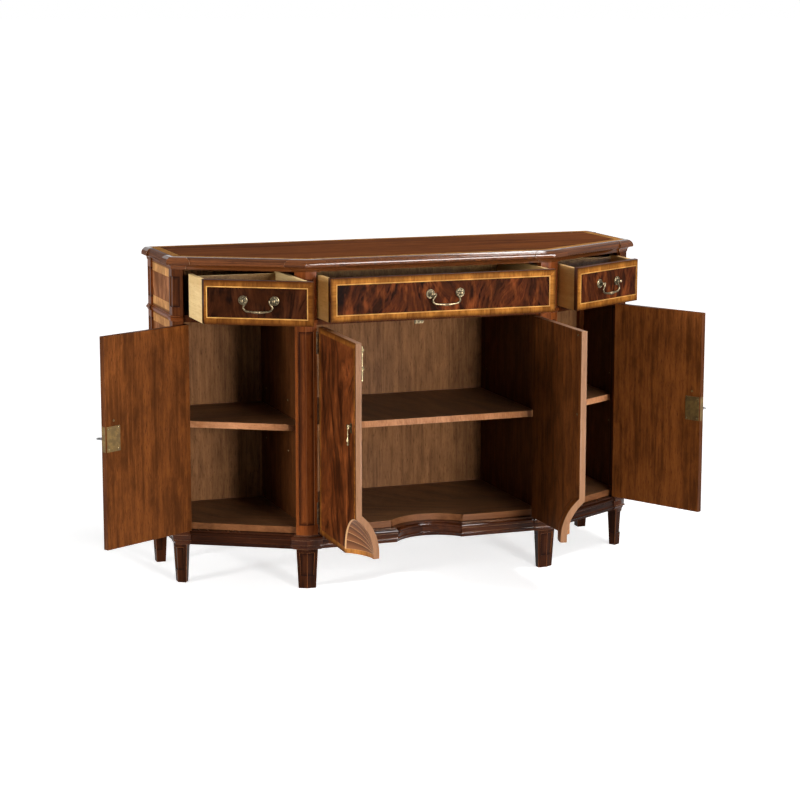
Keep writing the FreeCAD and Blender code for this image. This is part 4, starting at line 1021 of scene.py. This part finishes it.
screw = {  # profiles in shares of the radius and the rise
    "radius": 2.4, "rise": 1.0, "slot": 0.25, "seat": 0.0008, "turnSeed": 7,
    "cadRadius": 0.0022, "match": (0.93, 1.01), "corners": 8,
    "dome": [(0, 1), (0.6, 0.9), (1, 0.45), (1, 0), (0, 0)],
    "slotFloor": [(0, 0.4), (0.95, 0.4), (0.95, 0), (0, 0)],
}
sleeveProfile = [(1.5, -1.0), (1.5, 0.5), (1.9, 0.8), (2.6, 0.6), (2.9, 0.0), (2.9, -1.0), (1.5, -1.0)]
spareHoles = (  # distance of the face from the middle, side it faces, depths and heights
    (0.351, 1, (-0.06, -0.27), (0.35, 0.493)),
    (0.333, -1, (-0.05,), (0.36, 0.511)),
    (0.656, -1, (-0.06, -0.22), (0.366, 0.508)),
)


def screwProfile(name):
    return [(r * screw["radius"], h * screw["rise"]) for r, h in screw[name]]


def slottedHead():
    bm = turned(screwProfile("dome"), 10, math.pi)
    bmesh.ops.translate(bm, vec=(0, screw["slot"] / 1000, 0), verts=bm.verts)
    twin = asMesh("half", bm)
    both = bmesh.new()
    addCopy(both, twin, Matrix.Identity(4))
    addCopy(both, twin, Matrix.Rotation(math.pi, 4, "Z"))
    addCopy(both, asMesh("slotFloor", turned(screwProfile("slotFloor"), 20)), Matrix.Identity(4))
    return asMesh("slottedHead", both)


def roundEnds(node, radius):  # ends of the round solids in a node
    bm = cadCopy(node)
    found = []
    low, high = [share * math.pi * radius * radius for share in screw["match"]]
    for face in bm.faces:
        if len(face.verts) > screw["corners"] and low < face.calc_area() < high:
            found.append((face.calc_center_median().copy(), face.normal.copy()))
    bm.free()
    return found


def setHeads(name, ends, shape, finish, body, sink):
    seats = bpy.data.meshes.new("seats")
    seats.from_pydata([place - out * sink for place, out in ends], [], [])
    outward = seats.attributes.new("out", "FLOAT_VECTOR", "POINT")
    for slot, (place, out) in zip(outward.data, ends):
        slot.vector = out
    bm = bmesh.new()
    bm.from_mesh(repeat(headsOn, shape, finish, {"Seed": screw["turnSeed"]}, seats))
    finishPiece(name, bm, [finish], body, "brass")


headMesh = slottedHead()
for side in ("left", "right"):
    door = "door_" + side
    ends = roundEnds(door + "_lock", screw["cadRadius"])
    if ends:
        setHeads(door + "_lock_screws", ends, headMesh, "paleBrass", door, screw["seat"])
holes = [(Vector((side * across, depth, height)), Vector((side * way, 0, 0))) for side in (-1, 1)
         for across, way, depths, heights in spareHoles for depth in depths for height in heights]
setHeads("spare_peg_sleeves", holes, asMesh("sleeve", turned(sleeveProfile, 16)), "paleBrass", "cabinet", 0.0)
print("metalwork turned")


# floor, light and camera

studio = {
    "floorSize": 900.0, "floorTone": 0.8, "floorRough": 0.9, "worldLight": 0.16,
    "near": 0.9, "far": 2.6, "nearGlow": 0.68, "farGlow": 1.0,
}
lamps = {  # place, aim, width, height, power, and whether it lights the wood or shows only as a glint
    "key": ((0.5, -5.8, 1.2), (0, -0.3, 0.45), 0.9, 0.7, 250, True),
    "left": ((-4.7, -1.8, 1.15), (-0.3, -0.3, 0.5), 0.9, 1.2, 138, True),
    "above": ((1.5, -1.3, 3.3), (0.2, -0.4, 0.8), 1.2, 0.3, 58, True),
    "frontGlint": ((1.8, -4.5, 2.3), (0.1, -0.4, 0.15), 1.4, 2.4, 800, False),
    "topGlint": ((1.25, 0.2, 2.95), (1.25, 0.2, 0.0), 0.5, 2.0, 110, False),
}
view = {
    "place": (-2.1734, -6.2088, 1.5843), "pitch": 9.971, "yaw": 19.938, "roll": 0.052, "lens": 101.94,
    "farthest": 200,
}
white = (1, 1, 1, 1)


def directRays(tree):  # rays that show the backdrop itself
    ray = addNode(tree, "ShaderNodeLightPath").outputs
    seen = calc(tree, "MAXIMUM", ray["Is Camera Ray"], ray["Is Glossy Ray"])
    return calc(tree, "MAXIMUM", seen, ray["Is Transmission Ray"])


def makeFloor():
    bm = bmesh.new()
    bmesh.ops.create_grid(bm, x_segments=1, y_segments=1, size=studio["floorSize"] / 2)
    tree, shader = startMaterial("paleFloor", studio["floorRough"], 0.0)
    floor = bpy.data.objects.new("studioFloor", asMesh("studioFloor", bm, ["paleFloor"]))
    scene.collection.objects.link(floor)
    shader.inputs["Base Color"].default_value = (studio["floorTone"],) * 3 + (1.0,)
    place = addNode(tree, "ShaderNodeTexCoord").outputs["Object"]
    away = addNode(tree, "ShaderNodeVectorMath", {0: place}, operation="LENGTH").outputs["Value"]
    clearOf = ease(tree, away, studio["near"], studio["far"], studio["nearGlow"], studio["farGlow"])
    strength = calc(tree, "MULTIPLY", directRays(tree), clearOf)
    glow = addNode(tree, "ShaderNodeEmission", {"Color": white, "Strength": strength}).outputs[0]
    both = addNode(tree, "ShaderNodeAddShader", {0: shader.outputs[0], 1: glow}).outputs[0]
    feed(tree, tree.nodes["Material Output"].inputs["Surface"], both)


def makeWorld():
    world = bpy.data.worlds.new("studioWorld")
    scene.world = world
    world.use_nodes = True
    tree = world.node_tree
    back = tree.nodes["Background"]
    back.inputs["Color"].default_value = white
    feed(tree, back.inputs["Strength"], ease(tree, directRays(tree), 0.0, 1.0, studio["worldLight"], 1.0))


def makeLamps():
    for name, (place, target, wide, tall, power, onWood) in lamps.items():
        light = bpy.data.lights.new(name, "AREA")
        light.shape = "RECTANGLE"
        light.size = wide
        light.size_y = tall
        light.energy = power
        holder = bpy.data.objects.new(name, light)
        scene.collection.objects.link(holder)
        holder.location = place
        holder.visible_diffuse = onWood
        holder.rotation_euler = (Vector(target) - Vector(place)).to_track_quat("-Z", "Y").to_euler()


def makeCamera():
    camera = bpy.data.objects.new("photoCamera", bpy.data.cameras.new("photoCamera"))
    scene.collection.objects.link(camera)
    camera.data.lens = view["lens"]
    camera.data.clip_end = view["farthest"]
    camera.location = view["place"]
    turn = Matrix.Rotation(math.radians(-view["yaw"]), 4, "Z")
    turn = turn @ Matrix.Rotation(math.radians(90 - view["pitch"]), 4, "X")
    camera.rotation_euler = (turn @ Matrix.Rotation(math.radians(view["roll"]), 4, "Z")).to_euler()
    scene.camera = camera


makeFloor()
makeWorld()
makeLamps()
makeCamera()
scene.view_settings.view_transform = "Standard"
print("studio set")
